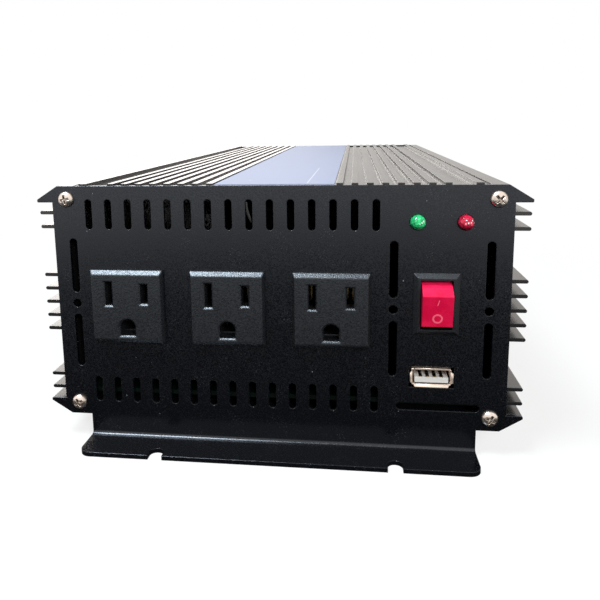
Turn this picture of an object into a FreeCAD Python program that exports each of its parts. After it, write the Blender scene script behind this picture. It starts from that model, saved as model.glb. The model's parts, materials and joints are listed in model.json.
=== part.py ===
import FreeCAD, Part
import math
import operator
import os
import types

import Sketcher

# Power inverter: two ribbed half shells joined along their sides, a bent sheet panel with a foot at
# each end, three outlets, a rocker switch, a USB port and two lamps in front, and a fan and two
# binding posts behind. X is across, +Y runs from the front to the rear, +Z is up, and the feet
# stand on Z = 0. The origin is under the middle of the whole, from front foot to post ends.

DRIVING_SIZES = {
    # case
    "body_length": 320, "mid_height": 50.9, "side_face_width": 152, "shell_height": 84.7,
    "wall": 2.5, "panel_thickness": 1.6, "panel_overhang": 1.5, "panel_inset": 0.6,
    "fin_reach": 7, "rib_height": 1.5, "rib_width": 2.2, "rib_pitch": 5, "rib_count": 8,
    "first_rib": 21.9, "edge_rib_inset": 9.25, "edge_rib_width": 2.5, "corner_land": 5.5,
    "ear_inset": 0.5, "ear_drop": 4.7, "ear_edge": 1.0, "ear_round": 0.45,
    "fin_thickness": 1.25, "fin_pitch": 4.95, "outer_fin": 27.3,
    "lap_depth": 2.0, "lap_thickness": 1.2, "lap_gap": 0.1,
    "corner_block_width": 4.5, "corner_block_drop": 4.35, "ledge_width": 2.0, "ledge_height": 1.2,
    "label_width": 40.4, "label_step": 0.85, "label_thickness": 0.3, "label_margin": 0.4,
    # foot bent out of each panel
    "foot_width": 136, "foot_reach": 14, "bend_radius": 1.2, "foot_corner": 4,
    "foot_slot": 5, "foot_slot_depth": 5, "foot_slot_place": 40.6,
    # vents in the front panel
    "vent_width": 2.5, "vent_count": 15, "vent_inset": 11.45, "vent_margin": 13.33,
    "vent_long": 10.5, "vent_rise": 31.85, "vent_short": 9.4, "vent_drop": 31.9,
    "column_width": 2.8, "column_length": 19.4, "column_spread": 27.3, "column_dot": 3,
    "column_inset": 5.25, "middle_column_inset": 36.2,
    "low_vent_inset": 20.95, "low_vent_length": 27.5, "low_vent_drop": 33.9,
    # screws
    "screw_radius": 1.5, "screw_head": 2.8, "screw_head_height": 1.9, "screw_length": 12,
    "screw_inset": 3.7, "screw_gap": 0.2, "thread_gap": 0.02, "head_flat": 0.6,
    "head_shoulder": 0.92, "recess_span": 3.0, "recess_width": 0.7, "recess_depth": 1.1,
    # outlets
    "outlet_margin": 19.0, "last_outlet_margin": 20.55, "outlet_drop": 0.5, "outlet_width": 26,
    "outlet_tall": 26.2, "outlet_raise": 2.9, "outlet_bevel": 1.5, "outlet_body": 24,
    "outlet_body_tall": 24.2, "outlet_depth": 22, "outlet_front_wall": 5.6, "cutout_gap": 0.2,
    "blade_rise": 4.8, "blade_spacing": 12.7, "blade_slot": 2.4, "neutral_slot": 8.2,
    "hot_slot": 6.8, "ground_drop": 7.1, "ground_radius": 2.65, "ground_flat": 3.1,
    "slot_lead": 0.6, "clip_well": 5.6, "clip_well_tall": 10.6, "clip_sheet": 0.6,
    "clip_tall": 8, "ground_clip_tall": 4.6, "clip_length": 13, "clip_space": 1.3, "tab_length": 7,
    # rocker switch
    "switch_inset": 22.3, "switch_rise": 2.3, "bezel_width": 15, "bezel_tall": 21,
    "bezel_raise": 2.0, "bezel_slope": 1.5, "switch_body": 12.9,
    "switch_body_tall": 19.1, "switch_depth": 14, "rocker_width": 9.8, "rocker_gap": 0.3,
    "rocker_well_tall": 16.6, "rocker_well_depth": 11, "pivot_depth": 2.4, "rocker_travel": 20,
    "rocker_crown": 7.52, "rocker_crease": 5.47, "rocker_shoulder": 4.05,
    "rocker_shoulder_half": 7.0, "rocker_half": 8.0, "rocker_heel": 3.0, "rocker_heel_half": 7.3,
    "rocker_round": 0.5, "trunnion_radius": 1.0, "trunnion_reach": 0.6, "trunnion_gap": 0.04,
    "spade_width": 4.8, "spade_thickness": 0.8, "spade_length": 8, "spade_spacing": 7,
    # USB port
    "usb_inset": 23.2, "usb_drop": 23.3, "usb_width": 13.1, "usb_tall": 5.72, "usb_sheet": 0.3,
    "usb_length": 14, "usb_proud": 0.8, "usb_flare": 0.6, "usb_cutout_gap": 0.9,
    "tongue_width": 11.1, "tongue_thickness": 1.84, "tongue_gap": 0.65, "tongue_setback": 0.9,
    "usb_core": 4.5, "usb_contact_width": 1.0, "usb_contact_pitch": 2.3,
    "usb_contact_count": 4, "usb_contact_sheet": 0.2,
    "usb_contact_setback": 1.2, "usb_board_width": 22, "usb_board_tall": 17,
    # indicator lamps
    "lamp_drop": 8.75, "power_lamp_inset": 28.8, "fault_lamp_inset": 13.7, "lamp_radius": 2.5,
    "lamp_proud": 3.4, "lamp_crown": 0.05,
    "lamp_rim": 2.9, "lamp_rim_length": 1.0, "lamp_hole_gap": 0.1,
    "lead_size": 0.5, "lead_spacing": 2.54, "lead_length": 7, "lamp_board_width": 26,
    "lamp_board_tall": 8,
    # boards and what stands on them
    "board_thickness": 1.6, "board_side_gap": 0.25, "board_lift": 0.2, "board_end_gap": 1.0,
    "transistor_start": 96, "transistor_pitch": 24, "transistor_count": 6,
    "transistor_width": 10.2, "transistor_body": 4.5, "transistor_case_tall": 9.2,
    "transistor_tab": 1.3, "transistor_tab_tall": 6.3, "transistor_leg": 4.4, "leg_size": 0.7,
    "leg_pitch": 2.54, "pad_thickness": 0.5, "pad_tall": 17, "bar_thickness": 3, "bar_tall": 10,
    "clamp_drop": 18.55, "clamp_head": 2.7, "clamp_head_height": 1.8,
    "core_width": 50, "core_tall": 50, "core_depth": 20, "core_leg": 15, "core_yoke": 8,
    "core_window": 11, "bobbin_wall": 1.2, "bobbin_reach": 9, "bobbin_flange": 1.5,
    "winding_gap": 0.5, "winding_round": 6, "transformer_lead": 8, "transformer_pitch": 68,
    "capacitor_radius": 8, "capacitor_tall": 28, "capacitor_inset": 54, "capacitor_place": 6,
    "capacitor_pitch": 20, "filter_radius": 11, "filter_tall": 32, "filter_pitch": 26.4,
    "front_row": 66, "choke_radius": 13, "choke_hole": 6, "choke_tall": 11, "choke_place": 28,
    "choke_wire": 1.6, "choke_gap": 0.1, "choke_turns": 12,
    "control_place": 50, "control_length": 70, "control_tall": 30,
    "control_start": 130, "chip_width": 7, "chip_tall": 10, "chip_thickness": 2, "chip_pitch": 18,
    "chip_count": 3, "fuse_width": 19, "fuse_tall": 19, "fuse_thickness": 5, "fuse_pitch": 9,
    "fuse_count": 4, "fuse_inset": 42, "fuse_place": 55,
    # cooling fan
    "fan_size": 60, "fan_depth": 20, "fan_place": 34, "fan_rim": 1.5, "fan_corner_round": 4,
    "fan_hole_inset": 5, "fan_opening_gap": 0.5, "fan_strut": 3, "strut_count": 4,
    "fan_strut_thickness": 2.5, "motor_radius": 13, "bearing_radius": 3.5, "bush_radius": 2.5,
    "bearing_length": 11, "shaft_radius": 1.5, "shaft_gap": 0.03, "hub_radius": 13,
    "hub_sheet": 1.5, "rotor_inset": 2.0, "rotor_length": 14, "rotor_gap": 1.0,
    "blade_count": 7, "blade_sheet": 1.2, "blade_root": 11.9, "blade_root_chord": 15,
    "blade_tip_chord": 19, "blade_root_angle": 42, "blade_tip_angle": 62, "fan_board_gap": 1.5,
    "stator_radius": 10, "stator_length": 7, "guard_wire": 0.8, "guard_ring": 8,
    "guard_inset": 0.4, "guard_rings": 4, "fan_screw_length": 10,
    # binding posts
    "post_middle": 39, "post_spacing": 34, "stud_radius": 4, "stud_gap": 0.05,
    "insulator_radius": 11, "insulator_flange": 5, "insulator_boss": 5.9, "insulator_gap": 0.2,
    "washer_radius": 8, "washer_thickness": 1.6, "knob_radius": 9, "knob_length": 14,
    "knob_flutes": 12, "knob_flute_radius": 1.3, "knob_flute_depth": 0.87,
    "knob_chamfer": 1, "insert_radius": 6,
    "stud_tip": 2.4, "stud_inner": 12, "back_washer_radius": 9, "back_washer_thickness": 2,
    "bar_strip": 12, "bar_strip_thickness": 2, "bus_foot": 12, "post_nut_radius": 7.5,
    "post_nut_length": 6, "ground_screw_drop": 24.9, "ground_radius_shank": 2, "ground_head": 4,
    "ground_head_height": 2.6, "ground_length": 9,
}

doc = FreeCAD.newDocument("PowerInverter")
sheet = doc.addObject("Spreadsheet::Sheet", "Sizes")
for row, (alias, number) in enumerate(DRIVING_SIZES.items(), start=1):
    sheet.set(f"A{row}", alias)
    sheet.set(f"B{row}", str(number))
    sheet.setAlias(f"B{row}", alias)
doc.recompute()


class Size:
    """A value together with the spreadsheet formula that gives it."""

    def __init__(self, value, formula):
        self.value = value
        self.formula = formula

    def __neg__(self):
        return Size(-self.value, f"(0 - {self.formula})")

    def __add__(self, other):
        return combined(self, "+", other)

    def __radd__(self, other):
        return combined(other, "+", self)

    def __sub__(self, other):
        return combined(self, "-", other)

    def __rsub__(self, other):
        return combined(other, "-", self)

    def __mul__(self, other):
        return combined(self, "*", other)

    def __rmul__(self, other):
        return combined(other, "*", self)

    def __truediv__(self, other):
        return combined(self, "/", other)


OPERATORS = {"+": operator.add, "-": operator.sub, "*": operator.mul, "/": operator.truediv}


def value_of(size):
    return size.value if isinstance(size, Size) else float(size)


def whole(size):
    return round(value_of(size))


def formula_of(size):
    return size.formula if isinstance(size, Size) else f"({float(size)})"


def combined(left, sign, right):
    value = OPERATORS[sign](value_of(left), value_of(right))
    return Size(value, f"({formula_of(left)} {sign} {formula_of(right)})")


dim = types.SimpleNamespace(
    **{alias: Size(float(sheet.get(alias)), f"Sizes.{alias}") for alias in DRIVING_SIZES}
)

X_WAY = FreeCAD.Vector(1, 0, 0)
Y_WAY = FreeCAD.Vector(0, 1, 0)
Z_WAY = FreeCAD.Vector(0, 0, 1)
ORIGIN = FreeCAD.Vector(0, 0, 0)
HALF_TURN = 180
ROOT = 0.5  # how far a rib or fin is sunk into the wall that it grows from
PAST = 1.0  # how far a cut runs on past the face that it opens
CLOSE = 0.01  # two places nearer than this count as the same

# places shared by several pieces
post_reach = dim.insulator_flange + dim.washer_thickness + dim.knob_length + dim.stud_tip
front = (dim.foot_reach - dim.body_length - post_reach) / 2
rear = front + dim.body_length
inner_front = front + dim.panel_thickness
inner_rear = rear - dim.panel_thickness
side_out = dim.side_face_width / 2
side_in = side_out - dim.wall
tip = side_out + dim.fin_reach
shell_top = dim.shell_height / 2 - dim.rib_height
panel_top = dim.shell_height / 2 - dim.panel_inset
ear_root = side_out - dim.ear_inset
screw_place = side_out - dim.screw_inset
screw_rise = shell_top - dim.screw_inset
ceiling = shell_top - dim.wall
block_bottom = ceiling - dim.corner_block_drop
board_bottom = dim.mid_height - block_bottom
board_top = board_bottom + dim.board_thickness
label_band = dim.first_rib - dim.rib_width / 2
label_land = shell_top + dim.label_step
column_place = side_out - dim.column_inset
middle_column = side_out - dim.middle_column_inset
power_lamp = side_out - dim.power_lamp_inset
fault_lamp = side_out - dim.fault_lamp_inset
lamp_height = dim.mid_height + ceiling - dim.lamp_drop
switch_place = side_out - dim.switch_inset
switch_height = dim.mid_height + dim.switch_rise
usb_place = side_out - dim.usb_inset
usb_height = dim.mid_height - dim.usb_drop
outlet_height = dim.mid_height - dim.outlet_drop
clamp_height = dim.mid_height - dim.clamp_drop
transistor_face = side_in - dim.pad_thickness - dim.transistor_body
fan_bore = dim.fan_size / 2 - dim.fan_rim
fan_corner = dim.fan_size / 2 - dim.fan_hole_inset
rotor_radius = fan_bore - dim.rotor_gap

nodes = {}


def bind(item, path, size):
    """Tie one property of an object to the sheet."""
    item.setExpression(path, formula_of(size))


def place(item, x=0, y=0, z=0, way=Z_WAY, angle=0):
    """Put an object at a bound place, turned about one direction."""
    item.Placement = FreeCAD.Placement(ORIGIN, FreeCAD.Rotation(way, angle))
    for letter, size in zip("xyz", (x, y, z)):
        bind(item, f"Placement.Base.{letter}", size)
    return item


def node(label, item):
    """Name a finished sub-part; its label is also its file's name."""
    item.Label = label
    nodes[label] = item
    return item


# sketch outlines: each is a function that draws itself into a sketch

def pin(sketch, geometry, end, x, y):
    """Fix one point of a sketch at a bound place."""
    for kind, size, axis in (("DistanceX", x, -2), ("DistanceY", y, -1)):
        if not isinstance(size, Size) and size == 0:
            sketch.addConstraint(Sketcher.Constraint("PointOnObject", geometry, end, axis))
        else:
            reach = Sketcher.Constraint(kind, -1, 1, geometry, end, value_of(size))
            bind(sketch, f"Constraints[{sketch.addConstraint(reach)}]", size)


def polygon(points):
    """Closed outline through the points, each placed by its own pair of sizes."""
    def draw(sketch):
        first, count = sketch.GeometryCount, len(points)
        corners = [FreeCAD.Vector(value_of(x), value_of(y), 0) for x, y in points]
        for here, there in zip(corners, corners[1:] + corners[:1]):
            sketch.addGeometry(Part.LineSegment(here, there), False)
        for index in range(count):
            following = first + (index + 1) % count
            sketch.addConstraint(
                Sketcher.Constraint("Coincident", first + index, 2, following, 1)
            )
        for index, (x, y) in enumerate(points):
            pin(sketch, first + index, 1, x, y)
    return draw


def rectangle(x, y, width, tall):
    """Rectangle about its centre."""
    left, right, low, high = x - width / 2, x + width / 2, y - tall / 2, y + tall / 2
    return polygon([(left, low), (right, low), (right, high), (left, high)])


def circle(x, y, radius):
    def draw(sketch):
        middle = FreeCAD.Vector(value_of(x), value_of(y), 0)
        index = sketch.addGeometry(Part.Circle(middle, Z_WAY, value_of(radius)), False)
        pin(sketch, index, 3, x, y)
        size = Sketcher.Constraint("Radius", index, value_of(radius))
        bind(sketch, f"Constraints[{sketch.addConstraint(size)}]", radius)
    return draw


def slot(x, y, length, width, upright=True):
    """Slot with round ends about its centre; length is over the ends."""
    def draw(sketch):
        reach = (length - width) / 2
        ends = [(x, y + reach), (x, y - reach)] if upright else [(x + reach, y), (x - reach, y)]
        start = 0 if upright else -math.pi / 2
        arcs = []
        for turn, (at_x, at_y) in enumerate(ends):
            middle = FreeCAD.Vector(value_of(at_x), value_of(at_y), 0)
            round_end = Part.Circle(middle, Z_WAY, value_of(width) / 2)
            low = start + math.pi * turn
            high = low + math.pi
            arcs.append(sketch.addGeometry(Part.ArcOfCircle(round_end, low, high), False))
        curves = [sketch.Geometry[arc] for arc in arcs]
        for here, there in ((0, 1), (1, 0)):
            side = Part.LineSegment(curves[here].EndPoint, curves[there].StartPoint)
            line = sketch.addGeometry(side, False)
            sketch.addConstraint(Sketcher.Constraint("Tangent", arcs[here], 2, line, 1))
            sketch.addConstraint(Sketcher.Constraint("Tangent", line, 2, arcs[there], 1))
        for arc, (at_x, at_y) in zip(arcs, ends):
            pin(sketch, arc, 3, at_x, at_y)
        size = Sketcher.Constraint("Radius", arcs[0], value_of(width) / 2)
        bind(sketch, f"Constraints[{sketch.addConstraint(size)}]", width / 2)
    return draw


def d_shape(x, y, radius, flat):
    """Round hole with a flat floor: a half circle on straight sides."""
    def draw(sketch):
        middle = FreeCAD.Vector(value_of(x), value_of(y), 0)
        reach, floor = value_of(radius), value_of(y) - value_of(flat)
        left, right = middle.x - reach, middle.x + reach
        half = Part.ArcOfCircle(Part.Circle(middle, Z_WAY, reach), 0, math.pi)
        arc = sketch.addGeometry(half, False)
        corners = [(left, middle.y), (left, floor), (right, floor), (right, middle.y)]
        points = [FreeCAD.Vector(at_x, at_y, 0) for at_x, at_y in corners]
        lines = [sketch.addGeometry(Part.LineSegment(here, there), False)
                 for here, there in zip(points, points[1:])]
        sketch.addConstraint(Sketcher.Constraint("Tangent", arc, 2, lines[0], 1))
        sketch.addConstraint(Sketcher.Constraint("Coincident", lines[0], 2, lines[1], 1))
        sketch.addConstraint(Sketcher.Constraint("Coincident", lines[1], 2, lines[2], 1))
        sketch.addConstraint(Sketcher.Constraint("Tangent", lines[2], 2, arc, 1))
        sketch.addConstraint(Sketcher.Constraint("Horizontal", lines[1]))
        pin(sketch, arc, 3, x, y)
        size = Sketcher.Constraint("Radius", arc, reach)
        bind(sketch, f"Constraints[{sketch.addConstraint(size)}]", radius)
        down = Sketcher.Constraint("DistanceY", -1, 1, lines[1], 1, floor)
        bind(sketch, f"Constraints[{sketch.addConstraint(down)}]", y - flat)
    return draw


# features of a body

def new_body(label):
    body = doc.addObject("PartDesign::Body", label)
    return node(label, body)


def datum(body, role):
    """One of the body's own origin planes or axes."""
    return next(item for item in body.Origin.OriginFeatures if item.Role == role)


def sketch_on(body, plane, outlines, offset=0, turn=0):
    sketch = body.newObject("Sketcher::SketchObject", f"{body.Name}Outline")
    sketch.AttachmentSupport = [(datum(body, f"{plane}_Plane"), "")]
    sketch.MapMode = "FlatFace"
    sketch.AttachmentOffset = FreeCAD.Placement(ORIGIN, FreeCAD.Rotation(Z_WAY, value_of(turn)))
    bind(sketch, "AttachmentOffset.Base.z", offset)
    if isinstance(turn, Size):
        bind(sketch, "AttachmentOffset.Rotation.Angle", turn)
    for draw in outlines:
        draw(sketch)
    return sketch


def pad(body, plane, outlines, low, high):
    """Material between two places along the plane's normal."""
    sketch = sketch_on(body, plane, outlines, -low if plane == "XZ" else low)
    feature = body.newObject("PartDesign::Pad", f"{body.Name}Pad")
    feature.Profile = sketch
    feature.Reversed = plane == "XZ"
    bind(feature, "Length", high - low)
    return feature


def pocket(body, plane, outlines, low, high):
    """A cut between two places along the plane's normal."""
    doc.recompute()
    before = body.Shape.Volume
    sketch = sketch_on(body, plane, outlines, -low if plane == "XZ" else low)
    feature = body.newObject("PartDesign::Pocket", f"{body.Name}Pocket")
    feature.Profile = sketch
    feature.Reversed = plane != "XZ"
    bind(feature, "Length", high - low)
    doc.recompute()
    if not body.Shape.Volume < before:
        raise ValueError(f"{feature.Name} cuts nothing")
    return feature


def turned(body, plane, points, axis):
    """A full turn of a half profile about one of the body's axes."""
    feature = body.newObject("PartDesign::Revolution", f"{body.Name}Turned")
    feature.Profile = sketch_on(body, plane, [polygon(points)])
    feature.ReferenceAxis = (datum(body, f"{axis}_Axis"), [""])
    feature.Angle = 360
    return feature


def row_of(body, feature, axis, pitch, count, backwards=False):
    """Copies of a feature along an axis of the body."""
    pattern = body.newObject("PartDesign::LinearPattern", f"{body.Name}Row")
    pattern.Originals = [feature]
    pattern.Direction = (datum(body, f"{axis}_Axis"), [""])
    pattern.Mode = "Spacing"
    pattern.Reversed = backwards
    bind(pattern, "Offset", pitch)
    bind(pattern, "Occurrences", count)
    body.Tip = pattern
    return pattern


def ring_of(body, feature, axis, count):
    """Copies of a feature all round an axis of the body."""
    pattern = body.newObject("PartDesign::PolarPattern", f"{body.Name}Ring")
    pattern.Originals = [feature]
    pattern.Axis = (datum(body, f"{axis}_Axis"), [""])
    pattern.Angle = 360
    bind(pattern, "Occurrences", count)
    body.Tip = pattern
    return pattern


def both_sides(body):
    """The whole body again on the other side of its YZ plane."""
    mirror = body.newObject("PartDesign::Mirrored", f"{body.Name}Mirror")
    mirror.TransformMode = "Whole shape"
    mirror.MirrorPlane = (datum(body, "YZ_Plane"), [""])
    body.Tip = mirror
    return mirror


def edges_where(feature, wanted):
    doc.recompute()
    return [f"Edge{index}" for index, edge in enumerate(feature.Shape.Edges, start=1)
            if wanted(edge)]


def runs(edge, way):
    """Whether a straight edge runs along a direction."""
    return edge.Curve.TypeId == "Part::GeomLine" and abs(edge.Curve.Direction.dot(way)) > 0.999


def near(first, second):
    return abs(value_of(first) - value_of(second)) < CLOSE


def rounded(body, feature, wanted, radius):
    fillet = body.newObject("PartDesign::Fillet", f"{body.Name}Fillet")
    fillet.Base = (feature, edges_where(feature, wanted))
    bind(fillet, "Radius", radius)
    return fillet


def bevelled(body, feature, wanted, size):
    chamfer = body.newObject("PartDesign::Chamfer", f"{body.Name}Chamfer")
    chamfer.Base = (feature, edges_where(feature, wanted))
    bind(chamfer, "Size", size)
    return chamfer


# plain solids and booleans

def block(name, x, y, z):
    """Box between a (low, high) pair on each axis."""
    item = doc.addObject("Part::Box", name)
    place(item, x[0], y[0], z[0])
    for size, (low, high) in zip(("Length", "Width", "Height"), (x, y, z)):
        bind(item, size, high - low)
    return item


def rod(name, way, at, radius, low, high):
    """Cylinder along Y or Z between two places; at is its place on the other two axes."""
    item = doc.addObject("Part::Cylinder", name)
    if way == "Y":
        place(item, at[0], low, at[1], X_WAY, -90)
    else:
        place(item, at[0], at[1], low)
    bind(item, "Radius", radius)
    bind(item, "Height", high - low)
    return item


def fused(name, parts):
    item = doc.addObject("Part::MultiFuse", name)
    item.Shapes = parts
    item.Refine = True
    return item


def grouped(name, parts):
    item = doc.addObject("Part::Compound", name)
    item.Links = parts
    return item


def cut(name, base, tool):
    item = doc.addObject("Part::Cut", name)
    item.Base = base
    item.Tool = tool
    return item


def washer(label, at, radius, hole, low, high):
    """Flat ring about a Y axis."""
    ring = rod(f"{label}_disc", "Y", at, radius, low, high)
    bore = rod(f"{label}_bore", "Y", at, hole, low - PAST, high + PAST)
    return node(label, cut(label, ring, bore))


def mirrored_x(points):
    """The same points on the other side, in reverse order."""
    return [(-x, y) for x, y in reversed(points)]


# case

def half_shell(label, drilled):
    """Ribbed top wall and finned sides down to a lapped joint at mid-height."""
    body = new_body(label)
    joint = dim.fin_pitch / 2
    lap = side_in + dim.lap_thickness
    block_side = side_in - dim.corner_block_width
    corner_land, edge_rib = side_out - dim.corner_land, side_out - dim.edge_rib_inset
    ear_low = panel_top - dim.ear_drop
    tongue = [
        (-side_out, -joint), (-lap, -joint), (-lap, -joint - dim.lap_depth),
        (-side_in, -joint - dim.lap_depth), (-side_in, block_bottom),
        (-block_side, block_bottom), (-block_side, ceiling),
    ]
    groove = [
        (block_side, ceiling), (block_side, block_bottom), (side_in, block_bottom),
        (side_in, joint + dim.lap_depth + dim.lap_gap),
        (lap + dim.lap_gap, joint + dim.lap_depth + dim.lap_gap),
        (lap + dim.lap_gap, joint), (side_out, joint),
    ]
    crown = [
        (side_out, ear_low - dim.ear_edge), (tip, ear_low - dim.ear_edge), (tip, ear_low),
        (ear_root, panel_top), (corner_land, panel_top), (corner_land, shell_top),
        (label_band, shell_top), (label_band, label_land),
    ]
    wall = pad(body, "XZ", [polygon(tongue + groove + crown + mirrored_x(crown))],
               inner_front, inner_rear)
    rounded(body, wall, lambda edge: runs(edge, Y_WAY)
            and near(abs(edge.CenterOfMass.x), tip), dim.ear_round)
    rib_low, rib_high = shell_top - ROOT, dim.shell_height / 2
    rib_middle, rib_tall = (rib_low + rib_high) / 2, rib_high - rib_low
    pad(body, "XZ", [rectangle(side * edge_rib, rib_middle, dim.edge_rib_width, rib_tall)
                     for side in (-1, 1)], inner_front, inner_rear)
    for side in (-1, 1):
        rib = pad(body, "XZ", [rectangle(side * dim.first_rib, rib_middle, dim.rib_width,
                                         rib_tall)], inner_front, inner_rear)
        row_of(body, rib, "X", dim.rib_pitch, dim.rib_count, side < 0)
        fin_middle = side * (tip + side_out - PAST) / 2
        fin_length = tip - side_out + PAST
        inner_fins = (0, 3) if side < 0 else (dim.fin_pitch, 2)
        for start, count in (inner_fins, (dim.outer_fin, 2)):
            fin = pad(body, "XZ", [slot(fin_middle, start, fin_length, dim.fin_thickness,
                                        upright=False)], inner_front, inner_rear)
            row_of(body, fin, "Z", dim.fin_pitch, count)
    ledge_middle = block_bottom - dim.board_thickness - dim.board_lift - dim.ledge_height / 2
    ledge_out = side_in + ROOT
    pad(body, "XZ", [rectangle(side * (ledge_out - (dim.ledge_width + ROOT) / 2), ledge_middle,
                               dim.ledge_width + ROOT, dim.ledge_height) for side in (-1, 1)],
        inner_front, inner_rear)
    pocket(body, "XZ", [circle(side * screw_place, screw_rise,
                               dim.screw_radius + dim.thread_gap) for side in (-1, 1)],
           inner_front - PAST, inner_rear + PAST)
    if drilled:
        first = front + dim.transistor_start + dim.transistor_pitch / 2
        holes = pocket(body, "YZ", [circle(first, dim.clamp_drop, dim.screw_radius + dim.screw_gap)],
                       -side_out - PAST, side_out + PAST)
        row_of(body, holes, "Y", 2 * dim.transistor_pitch, dim.transistor_count / 2)
    return body


place(half_shell("upper_shell", False), z=dim.mid_height)
place(half_shell("lower_shell", True), z=dim.mid_height, way=Y_WAY, angle=HALF_TURN)

node("label_strip", block(
    "label_strip", (-dim.label_width / 2, dim.label_width / 2),
    (inner_front + dim.label_margin, inner_rear - dim.label_margin),
    (dim.mid_height + label_land, dim.mid_height + label_land + dim.label_thickness)))


def end_panel(label):
    """Sheet with four ears and a foot bent out of it; its outer face is the body's XZ plane."""
    body = new_body(label)
    middle, half = dim.mid_height, panel_top
    side, thick = side_out + dim.panel_overhang, dim.panel_thickness
    ear = half - dim.ear_drop
    upper = [(side, ear - dim.ear_edge), (tip, ear - dim.ear_edge), (tip, ear),
             (ear_root, half)]
    lower = [(x, -z) for x, z in reversed(upper)]
    right = [(x, middle + z) for x, z in lower + upper]
    face = pad(body, "XZ", [polygon(right + mirrored_x(right))], 0, thick)
    rounded(body, face, lambda edge: runs(edge, Y_WAY)
            and near(abs(edge.CenterOfMass.x), tip), dim.ear_round)
    web_top = middle - half + ROOT
    reach, foot_side = dim.foot_reach, dim.foot_width / 2
    foot = pad(body, "YZ", [polygon([(thick, web_top), (0, web_top), (0, thick),
                                     (-reach, thick), (-reach, 0), (thick, 0)])],
               -foot_side, foot_side)
    inner = rounded(body, foot, lambda edge: runs(edge, X_WAY) and near(edge.CenterOfMass.y, 0)
                    and near(edge.CenterOfMass.z, thick), dim.bend_radius)
    outer = rounded(body, inner, lambda edge: runs(edge, X_WAY)
                    and near(edge.CenterOfMass.y, thick) and near(edge.CenterOfMass.z, 0),
                    dim.bend_radius + thick)
    rounded(body, outer, lambda edge: runs(edge, Z_WAY)
            and near(edge.CenterOfMass.y, -reach), dim.foot_corner)
    slot_length = 2 * dim.foot_slot_depth
    pocket(body, "XY", [slot(way * dim.foot_slot_place, -reach, slot_length, dim.foot_slot)
                        for way in (-1, 1)], -PAST, thick + PAST)
    pocket(body, "XZ", [circle(across * screw_place, middle + up * screw_rise,
                               dim.screw_radius + dim.screw_gap)
                        for across in (-1, 1) for up in (-1, 1)], -PAST, thick + PAST)
    return body


def vented_front():
    body = place(end_panel("front_panel"), y=front)
    middle = dim.mid_height
    through = (-PAST, dim.panel_thickness + PAST)
    first_vent, last_vent = dim.vent_inset - side_out, power_lamp - dim.vent_margin
    vent_pitch = (last_vent - first_vent) / (dim.vent_count - 1)
    for rise, length in ((dim.vent_rise, dim.vent_long), (-dim.vent_drop, dim.vent_short)):
        vent = pocket(body, "XZ", [slot(first_vent, middle + rise, length, dim.vent_width)],
                      *through)
        row_of(body, vent, "X", vent_pitch, dim.vent_count)
    column = []
    for x in (-column_place, middle_column, column_place):
        column += [slot(x, middle + side * dim.column_spread / 2, dim.column_length,
                        dim.column_width) for side in (-1, 1)]
        column.append(circle(x, middle, dim.column_dot / 2))
    column.append(slot(side_out - dim.low_vent_inset, middle - dim.low_vent_drop, dim.low_vent_length,
                       dim.column_width, upright=False))
    pocket(body, "XZ", column, *through)
    gap = 2 * dim.cutout_gap
    cutouts = [rectangle(x, outlet_height, dim.outlet_body + gap, dim.outlet_body_tall + gap)
               for x in outlet_places.values()]
    cutouts.append(rectangle(switch_place, switch_height, dim.switch_body + gap,
                             dim.switch_body_tall + gap))
    cutouts.append(rectangle(usb_place, usb_height, dim.usb_width + 2 * dim.usb_cutout_gap,
                             dim.usb_tall + 2 * dim.usb_cutout_gap))
    cutouts += [circle(x, lamp_height, dim.lamp_radius + dim.lamp_hole_gap)
                for x in (power_lamp, fault_lamp)]
    pocket(body, "XZ", cutouts, *through)


def rear_with_fan():
    """The rear panel is turned to face backwards, so its own X runs the other way."""
    body = place(end_panel("rear_panel"), y=rear, way=Z_WAY, angle=HALF_TURN)
    middle = dim.mid_height
    holes = [circle(dim.fan_place, middle, fan_bore - dim.fan_opening_gap)]
    holes += [circle(dim.fan_place + across * fan_corner, middle + up * fan_corner,
                     dim.screw_radius + dim.screw_gap) for across in (-1, 1) for up in (-1, 1)]
    holes += [circle(-x, middle, dim.insulator_boss + dim.insulator_gap) for x in posts.values()]
    holes.append(circle(-dim.post_middle, ground_height,
                        dim.ground_radius_shank + dim.thread_gap))
    pocket(body, "XZ", holes, -PAST, dim.panel_thickness + PAST)


first_outlet = dim.outlet_margin - column_place
last_outlet = middle_column - dim.last_outlet_margin
outlet_places = {"left": first_outlet, "middle": (first_outlet + last_outlet) / 2,
                 "right": last_outlet}
posts = {"red": dim.post_middle - dim.post_spacing / 2,
         "black": dim.post_middle + dim.post_spacing / 2}
ground_height = dim.mid_height - dim.ground_screw_drop
vented_front()
rear_with_fan()


# screws

def pan_screw(body, shank, head, head_height, length):
    """Domed head on the front side of the XZ plane, shank behind it, with a cross recess."""
    shoulder = head_height / 2
    screw = turned(body, "XY", [(0, -head_height), (head * dim.head_flat, -head_height),
                                (head * dim.head_shoulder, -shoulder), (head, 0), (shank, 0),
                                (shank, length), (0, length)], "Y")
    long, thin = dim.recess_span / 2, dim.recess_width / 2
    cross = [(long, -thin), (long, thin), (thin, thin), (thin, long), (-thin, long),
             (-thin, thin), (-long, thin), (-long, -thin), (-thin, -thin), (-thin, -long),
             (thin, -long), (thin, -thin)]
    recess = pocket(body, "XZ", [polygon(cross)], -head_height - PAST,
                    -head_height + dim.recess_depth)
    return [screw, recess]


def screw_rectangle(label, x, y, z, across, up, length, turn=0):
    """Four pan-head screws at the corners of a rectangle."""
    body = new_body(label)
    features = pan_screw(body, dim.screw_radius, dim.screw_head, dim.screw_head_height, length)
    row_of(body, features[0], "X", across, 2).Originals = features
    row_of(body, features[0], "Z", up, 2).TransformMode = "Whole shape"
    return place(body, x, y, z, Z_WAY, turn)


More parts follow.
